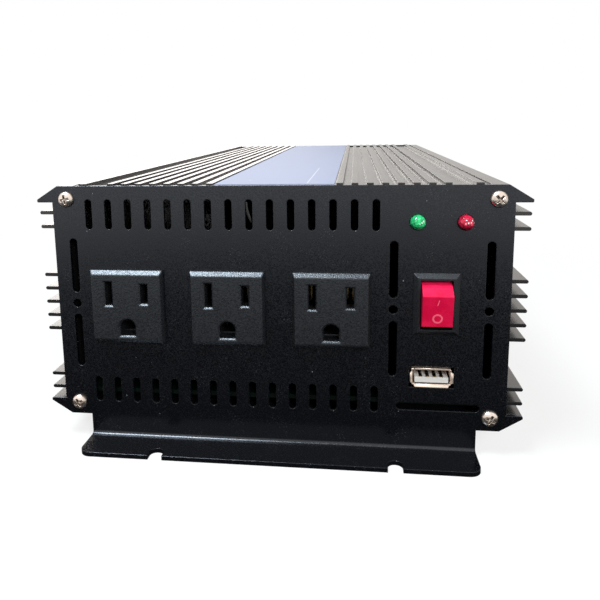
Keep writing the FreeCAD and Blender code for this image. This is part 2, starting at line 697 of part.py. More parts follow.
screw_low = dim.mid_height - screw_rise
screw_rectangle("front_panel_screws", -screw_place, front, screw_low,
                2 * screw_place, 2 * screw_rise, dim.screw_length)
screw_rectangle("rear_panel_screws", screw_place, rear, screw_low,
                2 * screw_place, 2 * screw_rise, dim.screw_length, HALF_TURN)


def clamp_screws():
    """Screws through both side walls that pull the clamp bars against the transistors."""
    body = new_body("clamp_screws")
    head, shank = dim.clamp_head, dim.screw_radius
    inner_end = transistor_face - dim.bar_thickness
    screw = turned(body, "XY", [(inner_end, 0), (inner_end, shank), (side_out, shank),
                                (side_out, head), (side_out + dim.clamp_head_height / 2,
                                                   head * dim.head_shoulder),
                                (side_out + dim.clamp_head_height, head * dim.head_flat),
                                (side_out + dim.clamp_head_height, 0)], "X")
    row_of(body, screw, "Y", 2 * dim.transistor_pitch, dim.transistor_count / 2)
    both_sides(body)
    place(body, y=front + dim.transistor_start + dim.transistor_pitch / 2, z=clamp_height)


clamp_screws()


# outlets

def outlet_housing(label, x):
    """Moulded face with a bevelled rim, blade slots and a ground hole over three open wells."""
    body = new_body(label)
    z, face = outlet_height, front - dim.outlet_raise
    rim = pad(body, "XZ", [rectangle(x, z, dim.outlet_width, dim.outlet_tall)], face, front)
    bevelled(body, rim, lambda edge: near(edge.CenterOfMass.y, face)
             and (runs(edge, X_WAY) or runs(edge, Z_WAY)), dim.outlet_bevel)
    back = front + dim.outlet_depth
    pad(body, "XZ", [rectangle(x, z, dim.outlet_body, dim.outlet_body_tall)], front, back)
    well = face + dim.outlet_front_wall
    blade, ground = z + dim.blade_rise, z - dim.ground_drop
    spread = dim.blade_spacing / 2
    pocket(body, "XZ", [rectangle(x - spread, blade, dim.blade_slot, dim.neutral_slot),
                        rectangle(x + spread, blade, dim.blade_slot, dim.hot_slot),
                        d_shape(x, ground, dim.ground_radius, dim.ground_flat)],
           face - PAST, well + PAST)
    flat = value_of(dim.outlet_width / 2 - dim.outlet_bevel) - CLOSE
    flat_tall = value_of(dim.outlet_tall / 2 - dim.outlet_bevel) - CLOSE
    bevelled(body, body.Tip, lambda edge: near(edge.CenterOfMass.y, face)
             and abs(edge.CenterOfMass.x - value_of(x)) < flat
             and abs(edge.CenterOfMass.z - value_of(z)) < flat_tall, dim.slot_lead)
    wells = [rectangle(x + side * spread, blade, dim.clip_well, dim.clip_well_tall)
             for side in (-1, 1)]
    wells.append(rectangle(x, ground, dim.clip_well, dim.clip_well))
    pocket(body, "XZ", wells, well, back + PAST)


def outlet_contacts(label, x):
    """Sprung brass clips, two leaves and a tab each, for the two blades and the ground pin."""
    back = front + dim.outlet_depth
    start = back - dim.clip_length
    spread, blade = dim.blade_spacing / 2, outlet_height + dim.blade_rise
    clips = []
    for name, at, z, space, tall in (
        ("neutral", x - spread, blade, dim.clip_space, dim.clip_tall),
        ("hot", x + spread, blade, dim.clip_space, dim.clip_tall),
        ("ground", x, outlet_height - dim.ground_drop,
         dim.clip_well - 2 * (dim.clip_sheet + dim.cutout_gap), dim.ground_clip_tall),
    ):
        low, high = z - tall / 2, z + tall / 2
        leaves = [block(f"{label}_{name}_leaf", (inner, inner + dim.clip_sheet), (start, back),
                        (low, high))
                  for inner in (at - space / 2 - dim.clip_sheet, at + space / 2)]
        bridge_half = dim.clip_well / 2 - dim.cutout_gap
        bridge = block(f"{label}_{name}_bridge", (at - bridge_half, at + bridge_half),
                       (back - dim.clip_sheet, back), (low, high))
        tab_half = dim.spade_width / 2
        tab = block(f"{label}_{name}_tab", (at - dim.clip_sheet / 2, at + dim.clip_sheet / 2),
                    (back - dim.clip_sheet, back + dim.tab_length), (z - tab_half, z + tab_half))
        clips.append(fused(f"{label}_{name}", [*leaves, bridge, tab]))
    node(label, grouped(label, clips))


for where, place_x in outlet_places.items():
    outlet_housing(f"{where}_outlet_housing", place_x)
    outlet_contacts(f"{where}_outlet_contacts", place_x)


# rocker switch

def switch_housing():
    body = new_body("switch_housing")
    x, z, face = switch_place, switch_height, front - dim.bezel_raise
    frame = pad(body, "XZ", [rectangle(x, z, dim.bezel_width, dim.bezel_tall)], face, front)
    bevelled(body, frame, lambda edge: near(edge.CenterOfMass.y, face)
             and (runs(edge, X_WAY) or runs(edge, Z_WAY)), dim.bezel_slope)
    pad(body, "XZ", [rectangle(x, z, dim.switch_body, dim.switch_body_tall)], front,
        front + dim.switch_depth)
    pocket(body, "XZ", [rectangle(x, z, dim.rocker_width + 2 * dim.rocker_gap,
                                  dim.rocker_well_tall)], face - PAST,
           front + dim.rocker_well_depth)
    bearing = dim.rocker_width / 2 + dim.rocker_gap + dim.trunnion_reach
    pocket(body, "YZ", [circle(front + dim.pivot_depth, z,
                               dim.trunnion_radius + dim.trunnion_gap)],
           x - bearing, x + bearing)


def switch_rocker():
    """Drawn level about its own pivot, then tipped to OFF with its upper end standing out."""
    body = new_body("switch_rocker")
    upper = [(-dim.rocker_crown, dim.rocker_crease),
             (-dim.rocker_shoulder, dim.rocker_shoulder_half), (0, dim.rocker_half),
             (dim.rocker_heel, dim.rocker_heel_half)]
    lower = [(y, -z) for y, z in reversed(upper)]
    half = dim.rocker_width / 2
    key = pad(body, "YZ", [polygon(upper + lower)], -half, half)
    rounded(body, key, lambda edge: runs(edge, X_WAY)
            and near(edge.CenterOfMass.y, -dim.rocker_crown), dim.rocker_round)
    trunnion = half + dim.rocker_gap + dim.trunnion_reach - dim.cutout_gap
    pad(body, "YZ", [circle(0, 0, dim.trunnion_radius)], -trunnion, trunnion)
    place(body, switch_place, front + dim.pivot_depth, switch_height, X_WAY)
    bind(body, "Placement.Rotation.Angle", dim.rocker_travel / 2)


switch_housing()
switch_rocker()
switch_back = front + dim.switch_depth
node("switch_terminals", grouped("switch_terminals", [
    block("spade", (switch_place - dim.spade_width / 2, switch_place + dim.spade_width / 2),
          (switch_back, switch_back + dim.spade_length),
          (middle - dim.spade_thickness / 2, middle + dim.spade_thickness / 2))
    for middle in (switch_height - dim.spade_spacing / 2,
                   switch_height + dim.spade_spacing / 2)]))


# USB port

def usb_shell():
    """Folded sheet shell with a flared mouth that stands just proud of the panel."""
    body = new_body("usb_shell")
    x, z, mouth = usb_place, usb_height, front - dim.usb_proud
    tube = pad(body, "XZ", [rectangle(x, z, dim.usb_width, dim.usb_tall)], mouth,
               mouth + dim.usb_length)
    rounded(body, tube, lambda edge: runs(edge, Y_WAY), 2 * dim.usb_sheet)
    flare = 2 * dim.usb_flare
    lip = 4 * dim.usb_sheet
    pad(body, "XZ", [rectangle(x, z, dim.usb_width - lip, dim.usb_tall + flare)],
        mouth, mouth + dim.usb_sheet)
    pad(body, "XZ", [rectangle(x, z, dim.usb_width + flare, dim.usb_tall - lip)],
        mouth, mouth + dim.usb_sheet)
    pocket(body, "XZ", [rectangle(x, z, dim.usb_width - 2 * dim.usb_sheet,
                                  dim.usb_tall - 2 * dim.usb_sheet)],
           mouth - PAST, mouth + dim.usb_length + PAST)


usb_mouth = front - dim.usb_proud
usb_back = usb_mouth + dim.usb_length
usb_floor = usb_height - dim.usb_tall / 2 + dim.usb_sheet
tongue_low = usb_floor + dim.tongue_gap
tongue_top = tongue_low + dim.tongue_thickness
usb_shell()
usb_half = dim.usb_width / 2 - dim.usb_sheet
node("usb_insulator", fused("usb_insulator", [
    block("tongue", (usb_place - dim.tongue_width / 2, usb_place + dim.tongue_width / 2),
          (usb_mouth + dim.tongue_setback, usb_back), (tongue_low, tongue_top)),
    block("core", (usb_place - usb_half, usb_place + usb_half),
          (usb_back - dim.usb_core, usb_back),
          (usb_floor, usb_floor + dim.usb_tall - 2 * dim.usb_sheet))]))
contact_half = dim.usb_contact_width / 2
node("usb_contacts", grouped("usb_contacts", [
    block("contact", (middle - contact_half, middle + contact_half),
          (usb_mouth + dim.usb_contact_setback, usb_back - dim.usb_core),
          (tongue_top, tongue_top + dim.usb_contact_sheet))
    for middle in (usb_place + (index - (dim.usb_contact_count - 1) / 2) * dim.usb_contact_pitch
                   for index in range(whole(dim.usb_contact_count)))]))
node("usb_board", block(
    "usb_board", (usb_place - dim.usb_board_width / 2, usb_place + dim.usb_board_width / 2),
    (usb_back, usb_back + dim.board_thickness), (board_top, board_top + dim.usb_board_tall)))


# indicator lamps

def lamp(label, x):
    """Round-topped lens with a rim that stops it behind the panel."""
    body = new_body(label)
    dome = front - dim.lamp_proud
    base = inner_front + dim.lamp_rim_length
    turned(body, "XY", [(0, dome), (dim.lamp_radius, dome), (dim.lamp_radius, inner_front),
                        (dim.lamp_rim, inner_front), (dim.lamp_rim, base), (0, base)], "Y")
    rounded(body, body.Tip, lambda edge: near(edge.CenterOfMass.y, dome)
            and edge.Curve.TypeId == "Part::GeomCircle", dim.lamp_radius - dim.lamp_crown)
    place(body, x, 0, lamp_height)


lamp("power_lamp", power_lamp)
lamp("fault_lamp", fault_lamp)
lamp_base = inner_front + dim.lamp_rim_length
lead_end = lamp_base + dim.lead_length
lead_half = dim.lead_size / 2
node("lamp_leads", grouped("lamp_leads", [
    block("lead", (middle - lead_half, middle + lead_half), (lamp_base, lead_end),
          (lamp_height - lead_half, lamp_height + lead_half))
    for lens in (power_lamp, fault_lamp)
    for middle in (lens - dim.lead_spacing / 2, lens + dim.lead_spacing / 2)]))
lamp_middle = (power_lamp + fault_lamp) / 2
node("lamp_board", block(
    "lamp_board", (lamp_middle - dim.lamp_board_width / 2, lamp_middle + dim.lamp_board_width / 2),
    (lead_end, lead_end + dim.board_thickness),
    (lamp_height - dim.lamp_board_tall / 2, lamp_height + dim.lamp_board_tall / 2)))


# main board and what stands on it

board_half = side_in - dim.board_side_gap
board_front, board_rear = inner_front + dim.board_end_gap, inner_rear - dim.board_end_gap
fan_room = dim.fan_size / 2 + dim.fan_board_gap


def main_board():
    """Board on the case's ledges, with a notch that leaves the fan its height."""
    body = new_body("main_board")
    pad(body, "XY", [polygon([
        (-board_half, board_front), (board_half, board_front), (board_half, board_rear),
        (fan_room - dim.fan_place, board_rear),
        (fan_room - dim.fan_place, inner_rear - dim.fan_depth - dim.fan_board_gap),
        (-fan_room - dim.fan_place, inner_rear - dim.fan_depth - dim.fan_board_gap),
        (-fan_room - dim.fan_place, board_rear), (-board_half, board_rear)])],
        board_bottom, board_top)


main_board()
first_transistor = front + dim.transistor_start


def transistors():
    """Upright power transistors along both edges of the board, backs to the side walls."""
    body = new_body("transistors")
    base = board_top + dim.transistor_leg
    top = base + dim.transistor_case_tall
    back = side_in - dim.pad_thickness
    half = dim.transistor_width / 2
    case = pad(body, "XY", [polygon([(transistor_face, -half), (back, -half), (back, half),
                                     (transistor_face, half)])], base, top)
    tab = pad(body, "XY", [polygon([(back - dim.transistor_tab, -half), (back, -half),
                                    (back, half), (back - dim.transistor_tab, half)])],
              top, top + dim.transistor_tab_tall)
    middle = (transistor_face + back) / 2
    legs = pad(body, "XY", [rectangle(middle, index * dim.leg_pitch, dim.leg_size, dim.leg_size)
                            for index in (-1, 0, 1)], board_top, base)
    row = row_of(body, case, "Y", dim.transistor_pitch, dim.transistor_count)
    row.Originals = [case, tab, legs]
    both_sides(body)
    place(body, y=first_transistor)


def pressed_strip(label, inner, outer, middle, tall):
    """Strip along a transistor row on each side, with a hole for every clamp screw."""
    body = new_body(label)
    half = dim.transistor_width / 2
    length = (dim.transistor_count - 1) * dim.transistor_pitch
    low, high = middle - tall / 2, middle + tall / 2
    pad(body, "XY", [polygon([(inner, -half), (outer, -half), (outer, length + half),
                              (inner, length + half)])], low, high)
    hole = pocket(body, "YZ", [circle(dim.transistor_pitch / 2, clamp_height,
                                      dim.screw_radius + dim.thread_gap)],
                  inner - PAST, outer + PAST)
    row_of(body, hole, "Y", 2 * dim.transistor_pitch, dim.transistor_count / 2)
    both_sides(body)
    place(body, y=first_transistor)


transistors()
pad_middle = board_top + dim.transistor_leg + dim.pad_tall / 2
pressed_strip("insulating_pads", side_in - dim.pad_thickness, side_in, pad_middle, dim.pad_tall)
pressed_strip("clamp_bars", transistor_face - dim.bar_thickness, transistor_face, clamp_height,
              dim.bar_tall)


def transformer_pieces():
    """Two E-core transformers, one behind the other: cores, bobbins and windings."""
    half, leg = dim.core_width / 2, dim.core_leg / 2
    window_out = leg + dim.core_window
    low, high = board_top, board_top + dim.core_tall
    window_low, window_high = low + dim.core_yoke, high - dim.core_yoke
    first = (front + rear - dim.transformer_pitch) / 2 - dim.transformer_lead
    depth = dim.core_depth / 2
    reach = depth + dim.bobbin_reach
    tube, flange = leg + dim.bobbin_wall, window_out
    window = (window_low + window_high) / 2
    cores = new_body("transformer_cores")
    windows = [rectangle(side * (leg + window_out) / 2, window, dim.core_window,
                         window_high - window_low) for side in (-1, 1)]
    core = pad(cores, "XZ", [rectangle(0, (low + high) / 2, 2 * half, dim.core_tall), *windows],
               -depth, depth)
    row_of(cores, core, "Y", dim.transformer_pitch, 2)
    bobbins = new_body("transformer_bobbins")
    inner = rectangle(0, 0, dim.core_leg, dim.core_depth)
    flange_low, flange_high = window_low + dim.bobbin_flange, window_high - dim.bobbin_flange
    around = rectangle(0, 0, 2 * tube, dim.core_depth + 2 * dim.bobbin_wall)
    edge = rectangle(0, 0, 2 * flange, 2 * reach)
    parts = [pad(bobbins, "XY", [edge, inner], window_low, flange_low),
             pad(bobbins, "XY", [around, inner], flange_low, flange_high),
             pad(bobbins, "XY", [edge, inner], flange_high, window_high)]
    row_of(bobbins, parts[0], "Y", dim.transformer_pitch, 2).Originals = parts
    windings = new_body("transformer_windings")
    coil = pad(windings, "XY", [rectangle(0, 0, 2 * (flange - dim.winding_gap),
                                          2 * (reach - dim.winding_gap))],
               flange_low, flange_high)
    rounded(windings, coil, lambda line: runs(line, Z_WAY), dim.winding_round)
    pocket(windings, "XY", [around], flange_low - PAST, flange_high + PAST)
    copies = row_of(windings, coil, "Y", dim.transformer_pitch, 2)
    copies.TransformMode = "Whole shape"
    for body in (cores, bobbins, windings):
        place(body, y=first)


transformer_pieces()


def standing_cans(label, radius, tall, places):
    """Capacitor cans with a rolled top edge, standing on the board."""
    cans = []
    for at in places:
        can = rod(f"{label}_can", "Z", at, radius, board_top, board_top + tall)
        cans.append(can)
    node(label, grouped(label, cans))


standing_cans("input_capacitors", dim.capacitor_radius, dim.capacitor_tall,
              [(dim.capacitor_place + column * dim.capacitor_pitch,
                rear - dim.capacitor_inset - line * dim.capacitor_pitch)
               for line in (0, 1) for column in (0, 1)])
standing_cans("filter_capacitors", dim.filter_radius, dim.filter_tall,
              [(side * dim.filter_pitch, front + dim.front_row) for side in (0, 1)])

choke_at = (-dim.choke_place, front + dim.front_row)
choke_low, choke_high = board_top + dim.choke_wire, board_top + dim.choke_wire + dim.choke_tall
node("choke_core", cut("choke_core",
                       rod("choke_ring", "Z", choke_at, dim.choke_radius, choke_low, choke_high),
                       rod("choke_bore", "Z", choke_at, dim.choke_hole, choke_low - PAST,
                           choke_high + PAST)))


def choke_winding():
    """Turns of thick wire round the ring, each a square loop, sharing one solid per turn."""
    body = new_body("choke_winding")
    wire, inner, outer = dim.choke_wire, dim.choke_hole, dim.choke_radius
    middle = (inner + outer) / 2
    loop = pad(body, "XZ", [
        rectangle(middle, dim.choke_tall / 2, outer - inner + 2 * (wire + dim.choke_gap),
                  dim.choke_tall + 2 * wire),
        rectangle(middle, dim.choke_tall / 2, outer - inner + 2 * dim.choke_gap,
                  dim.choke_tall)],
        -wire / 2, wire / 2)
    ring_of(body, loop, "Z", dim.choke_turns)
    place(body, choke_at[0], choke_at[1], choke_low)


choke_winding()
control_low, control_high = front + dim.control_start, front + dim.control_start + dim.control_length
node("control_board", block(
    "control_board", (-dim.control_place, -dim.control_place + dim.board_thickness),
    (control_low, control_high), (board_top, board_top + dim.control_tall)))
chip_middle = board_top + dim.control_tall / 2
node("control_chips", grouped("control_chips", [
    block("chip", (-dim.control_place + dim.board_thickness,
                   -dim.control_place + dim.board_thickness + dim.chip_thickness),
          (middle - dim.chip_width / 2, middle + dim.chip_width / 2),
          (chip_middle - dim.chip_tall / 2, chip_middle + dim.chip_tall / 2))
    for middle in (control_low + (index + 1) * dim.chip_pitch
                   for index in range(whole(dim.chip_count)))]))
node("fuses", grouped("fuses", [
    block("fuse", (dim.fuse_place - dim.fuse_width / 2, dim.fuse_place + dim.fuse_width / 2),
          (high - dim.fuse_thickness, high), (board_top, board_top + dim.fuse_tall))
    for high in (rear - dim.fuse_inset - index * dim.fuse_pitch
                 for index in range(whole(dim.fuse_count)))]))


# cooling fan, inside the rear panel; its pieces are drawn about the fan's own axis

fan_x = -dim.fan_place
fan_front = -dim.fan_depth
strut_back = fan_front + dim.fan_strut_thickness


def place_fan(item):
    return place(item, fan_x, inner_rear, dim.mid_height)


def fan_frame():
    """Square housing with a round bore, four struts and the motor plate with its bearing tube."""
    body = new_body("fan_frame")
    shell = pad(body, "XZ", [rectangle(0, 0, dim.fan_size, dim.fan_size)], fan_front, 0)
    rounded(body, shell, lambda edge: runs(edge, Y_WAY), dim.fan_corner_round)
    pocket(body, "XZ", [circle(0, 0, fan_bore)], fan_front - PAST, PAST)
    screw_holes = [circle(across * fan_corner, up * fan_corner,
                          dim.screw_radius + dim.thread_gap)
                   for across in (-1, 1) for up in (-1, 1)]
    pocket(body, "XZ", screw_holes, fan_front - PAST, PAST)
    strut_middle = (dim.motor_radius + fan_bore) / 2
    strut_length = fan_bore - dim.motor_radius + 2 * ROOT
    strut = pad(body, "XZ", [rectangle(strut_middle, 0, strut_length, dim.fan_strut)],
                fan_front, strut_back)
    ring_of(body, strut, "Y", dim.strut_count)
    pad(body, "XZ", [circle(0, 0, dim.motor_radius)], fan_front, strut_back)
    pad(body, "XZ", [circle(0, 0, dim.bearing_radius)], strut_back - ROOT,
        strut_back + dim.bearing_length)
    pocket(body, "XZ", [circle(0, 0, dim.bush_radius)], strut_back,
           strut_back + dim.bearing_length + PAST)
    place_fan(body)


def fan_rotor():
    """Hub cup with twisted blades, trimmed to the round bore."""
    body = doc.addObject("PartDesign::Body", "fan_wheel")
    face = -dim.rotor_inset
    low = face - dim.rotor_length
    cup = dim.hub_radius - dim.hub_sheet
    turned(body, "XY", [(0, face), (dim.hub_radius, face), (dim.hub_radius, low), (cup, low),
                        (cup, face - dim.hub_sheet), (0, face - dim.hub_sheet)], "Y")
    bore = pocket(body, "XZ", [circle(0, 0, dim.shaft_radius)], face - dim.hub_sheet - PAST,
                  face - dim.hub_sheet / 2)
    blade_middle = face - dim.rotor_length / 2
    sections = []
    for radius, chord, angle in (
        (dim.blade_root, dim.blade_root_chord, dim.blade_root_angle),
        (rotor_radius + PAST, dim.blade_tip_chord, dim.blade_tip_angle),
    ):
        outline = rectangle(0, 0, chord, dim.blade_sheet)
        section = sketch_on(body, "YZ", [outline], radius, angle)
        bind(section, "AttachmentOffset.Base.x", blade_middle)
        sections.append(section)
    blade = body.newObject("PartDesign::AdditiveLoft", "blade")
    blade.Profile = sections[0]
    blade.Sections = sections[1:]
    blade.Ruled = True
    ring_of(body, blade, "Y", dim.blade_count)
    place_fan(body)
    sweep = rod("blade_sweep", "Y", (fan_x, dim.mid_height), rotor_radius,
                inner_rear + low, inner_rear + face)
    trimmed = doc.addObject("Part::Common", "fan_rotor")
    trimmed.Base = body
    trimmed.Tool = sweep
    node("fan_rotor", trimmed)


def fan_small_pieces():
    fan_at = (fan_x, dim.mid_height)
    tube_low, tube_high = inner_rear + strut_back, inner_rear + strut_back + dim.bearing_length
    washer("fan_bush", fan_at, dim.bush_radius, dim.shaft_radius + dim.shaft_gap, tube_low,
           tube_high)
    shaft_high = inner_rear - dim.rotor_inset - dim.hub_sheet / 2
    node("fan_shaft", rod("fan_shaft", "Y", fan_at, dim.shaft_radius,
                          tube_low + dim.cutout_gap, shaft_high))
    washer("fan_stator", fan_at, dim.stator_radius, dim.bearing_radius, tube_low,
           tube_low + dim.stator_length)


def fan_guard():
    """Finger guard: square wire rings lying on a cross that ends in four screw eyes."""
    wire, middle = dim.guard_wire, dim.mid_height
    eye = dim.screw_radius + dim.screw_gap
    cross_top = rear + 2 * wire
    reach = fan_corner * math.sqrt(2)
    pitch = (dim.fan_size / 2 - dim.guard_inset - dim.guard_ring) / (dim.guard_rings - 1)
    arms = []
    for angle in (45, 135):
        cosine, sine = math.cos(math.radians(angle)), math.sin(math.radians(angle))
        arm = doc.addObject("Part::Box", "guard_arm")
        for side, size in (("Length", 2 * wire), ("Width", 2 * wire), ("Height", 2 * reach)):
            bind(arm, side, size)
        arms.append(place(arm, fan_x - wire * cosine - reach * sine, rear,
                          middle + wire * sine - reach * cosine, Y_WAY, angle))
    eyes = [rod("guard_eye", "Y", (fan_x + across * fan_corner, middle + up * fan_corner),
                eye + 2 * wire, rear, cross_top) for across in (-1, 1) for up in (-1, 1)]
    holes = [rod("guard_hole", "Y", (fan_x + across * fan_corner, middle + up * fan_corner), eye,
                 rear - PAST, cross_top + PAST) for across in (-1, 1) for up in (-1, 1)]
    cross = cut("guard_cross", fused("guard_arms", arms + eyes), fused("guard_holes", holes))
    rings = []
    for index in range(whole(dim.guard_rings)):
        ring = dim.guard_ring + index * pitch - wire
        rings.append(cut("guard_ring",
                         rod("ring_disc", "Y", (fan_x, middle), ring + wire, cross_top,
                             cross_top + 2 * wire),
                         rod("ring_hole", "Y", (fan_x, middle), ring - wire, cross_top - PAST,
                             cross_top + 2 * wire + PAST)))
    node("fan_guard", grouped("fan_guard", [cross, *rings]))


fan_frame()
fan_rotor()
fan_small_pieces()
fan_guard()
screw_rectangle("fan_screws", fan_x + fan_corner, rear + 2 * dim.guard_wire,
                dim.mid_height - fan_corner, 2 * fan_corner, 2 * fan_corner,
                dim.fan_screw_length, HALF_TURN)


# binding posts

stud_hole = dim.stud_radius + dim.stud_gap
washer_start = rear + dim.insulator_flange
knob_start = washer_start + dim.washer_thickness
knob_end = knob_start + dim.knob_length
strip_back = inner_rear - dim.back_washer_thickness


def insulator(label, x):
    """Flanged sleeve that keeps the stud off the panel."""
    at = (x, dim.mid_height)
    flange = rod(f"{label}_flange", "Y", at, dim.insulator_radius, rear, washer_start)
    boss = rod(f"{label}_boss", "Y", at, dim.insulator_boss, inner_rear, rear)
    bore = rod(f"{label}_bore", "Y", at, stud_hole, inner_rear - PAST, washer_start + PAST)
    node(label, cut(label, fused(f"{label}_sleeve", [flange, boss]), bore))


def knob(label, x):
    """Fluted grip, drawn about its own axis from its inner face outwards."""
    body = new_body(label)
    radius, length, edge = dim.knob_radius, dim.knob_length, dim.knob_chamfer
    bore = dim.insert_radius
    turned(body, "XY", [(bore, 0), (radius - edge, 0), (radius, edge), (radius, length - edge),
                        (radius - edge, length), (bore, length)], "Y")
    flute = pocket(body, "XZ", [circle(radius + dim.knob_flute_radius - dim.knob_flute_depth, 0,
                                       dim.knob_flute_radius)], -PAST, length + PAST)
    ring_of(body, flute, "Y", dim.knob_flutes)
    place(body, x, knob_start, dim.mid_height)


for colour, post_x in posts.items():
    post_at = (post_x, dim.mid_height)
    insulator(f"{colour}_insulator", post_x)
    node(f"{colour}_stud", rod(f"{colour}_stud", "Y", post_at, dim.stud_radius,
                               inner_rear - dim.stud_inner, knob_end + dim.stud_tip))
    washer(f"{colour}_washer", post_at, dim.washer_radius, stud_hole, washer_start, knob_start)
    knob(f"{colour}_knob", post_x)
    washer(f"{colour}_insert", post_at, dim.insert_radius, stud_hole, knob_start, knob_end)


def post_group(label, make):
    node(label, grouped(label, [make(colour, (x, dim.mid_height)) for colour, x in posts.items()]))


def back_washer(colour, at):
    disc = rod(f"{colour}_back_disc", "Y", at, dim.back_washer_radius, strip_back, inner_rear)
    bore = rod(f"{colour}_back_bore", "Y", at, stud_hole, strip_back - PAST, inner_rear + PAST)
    return cut(f"{colour}_back_washer", disc, bore)


def bus_bar(colour, at):
    """Strip from the stud down to a foot on the board."""
    half = dim.bar_strip / 2
    low, high = strip_back - dim.bar_strip_thickness, strip_back
    upright = block(f"{colour}_upright", (at[0] - half, at[0] + half), (low, high),
                    (board_top, at[1] + half))
    foot = block(f"{colour}_foot", (at[0] - half, at[0] + half), (low - dim.bus_foot, high),
                 (board_top, board_top + dim.bar_strip_thickness))
    bore = rod(f"{colour}_bar_bore", "Y", at, stud_hole, low - PAST, high + PAST)
    return cut(f"{colour}_bus_bar", fused(f"{colour}_bar", [upright, foot]), bore)


def post_nut(colour, at):
    high = strip_back - dim.bar_strip_thickness
    low = high - dim.post_nut_length
    prism = place(doc.addObject("Part::Prism", f"{colour}_nut_body"), at[0], low, at[1], X_WAY, -90)
    prism.Polygon = 6
    bind(prism, "Circumradius", dim.post_nut_radius)
    bind(prism, "Height", dim.post_nut_length)
    bore = rod(f"{colour}_nut_bore", "Y", at, dim.stud_radius + dim.thread_gap, low - PAST,
               high + PAST)
    return cut(f"{colour}_nut", prism, bore)


post_group("back_washers", back_washer)
post_group("bus_bars", bus_bar)
post_group("post_nuts", post_nut)

ground_screw = new_body("ground_screw")
pan_screw(ground_screw, dim.ground_radius_shank, dim.ground_head, dim.ground_head_height,
          dim.ground_length)
place(ground_screw, dim.post_middle, rear, ground_height, Z_WAY, HALF_TURN)


# check every object, then write each sub-part

doc.recompute()
failed = [item for item in doc.Objects if {"Invalid", "Error"} & set(item.State)]
if failed:
    reasons = [f"{item.Name}: {item.getStatusString()}" for item in failed]
    raise RuntimeError(f"objects not built: {', '.join(reasons)}")
for label, item in nodes.items():
    if item.Shape.isNull() or not item.Shape.isValid():
        raise RuntimeError(f"{label} has no valid shape")
os.makedirs("parts", exist_ok=True)
for label, item in nodes.items():
    item.Shape.exportStep(f"parts/{label}.step")
print(f"{len(nodes)} sub-parts written")
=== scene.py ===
import json
import math

import bmesh
import bpy
import numpy as np
from mathutils import Matrix, Vector


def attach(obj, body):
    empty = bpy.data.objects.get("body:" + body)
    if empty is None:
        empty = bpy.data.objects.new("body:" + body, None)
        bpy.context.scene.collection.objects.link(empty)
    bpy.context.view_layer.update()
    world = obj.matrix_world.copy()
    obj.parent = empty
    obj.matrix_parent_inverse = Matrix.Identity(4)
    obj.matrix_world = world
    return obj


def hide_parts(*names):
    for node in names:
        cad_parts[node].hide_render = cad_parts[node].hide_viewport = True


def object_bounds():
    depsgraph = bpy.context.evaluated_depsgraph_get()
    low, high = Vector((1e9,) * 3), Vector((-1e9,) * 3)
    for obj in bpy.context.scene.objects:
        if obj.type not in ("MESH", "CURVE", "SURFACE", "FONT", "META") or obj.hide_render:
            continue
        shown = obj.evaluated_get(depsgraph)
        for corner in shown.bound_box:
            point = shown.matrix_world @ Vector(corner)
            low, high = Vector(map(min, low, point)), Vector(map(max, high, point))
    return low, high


# Power inverter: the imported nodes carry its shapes. Here they get their finishes, a few small
# pieces get finer meshes, and a floor, soft lights and a camera are set up round them.
# Lengths are metres and the scales of patterns are per metre, unless a note says otherwise.

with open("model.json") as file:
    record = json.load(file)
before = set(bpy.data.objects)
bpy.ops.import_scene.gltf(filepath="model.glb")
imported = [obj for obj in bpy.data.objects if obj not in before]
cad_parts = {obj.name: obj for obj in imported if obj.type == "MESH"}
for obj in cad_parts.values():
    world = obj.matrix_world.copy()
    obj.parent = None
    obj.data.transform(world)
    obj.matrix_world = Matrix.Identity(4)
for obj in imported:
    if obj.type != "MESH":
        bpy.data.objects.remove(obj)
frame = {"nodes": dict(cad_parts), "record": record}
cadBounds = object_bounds()
print("frame loaded:", len(frame["nodes"]), "nodes")


class Wire:
    # one output socket; + - * ** on it, from either side, add Math nodes

    def __init__(self, recipe, socket):
        self.recipe = recipe
        self.socket = socket

    def math(self, operation, first, second=None):
        inputs = {0: first} if second is None else {0: first, 1: second}
        return self.recipe.add("ShaderNodeMath", {"operation": operation}, inputs)

    def __add__(self, other):
        return self.math("ADD", self, other)

    def __radd__(self, other):
        return self.math("ADD", other, self)

    def __sub__(self, other):
        return self.math("SUBTRACT", self, other)

    def __rsub__(self, other):
        return self.math("SUBTRACT", other, self)

    def __mul__(self, other):
        return self.math("MULTIPLY", self, other)

    def __rmul__(self, other):
        return self.math("MULTIPLY", other, self)

    def __pow__(self, other):
        return self.math("POWER", self, other)

    def __rpow__(self, other):
        return self.math("POWER", other, self)

    def __abs__(self):
        return self.math("ABSOLUTE", self)

    def most(self, other):
        return self.math("MAXIMUM", self, other)

    def fade(self, low, high):
        # 0 at low, 1 at high, eased between; low may be above high
        settings = {"interpolation_type": "SMOOTHSTEP"}
        inputs = {"Value": self, "From Min": low, "From Max": high}
        return self.recipe.add("ShaderNodeMapRange", settings, inputs)


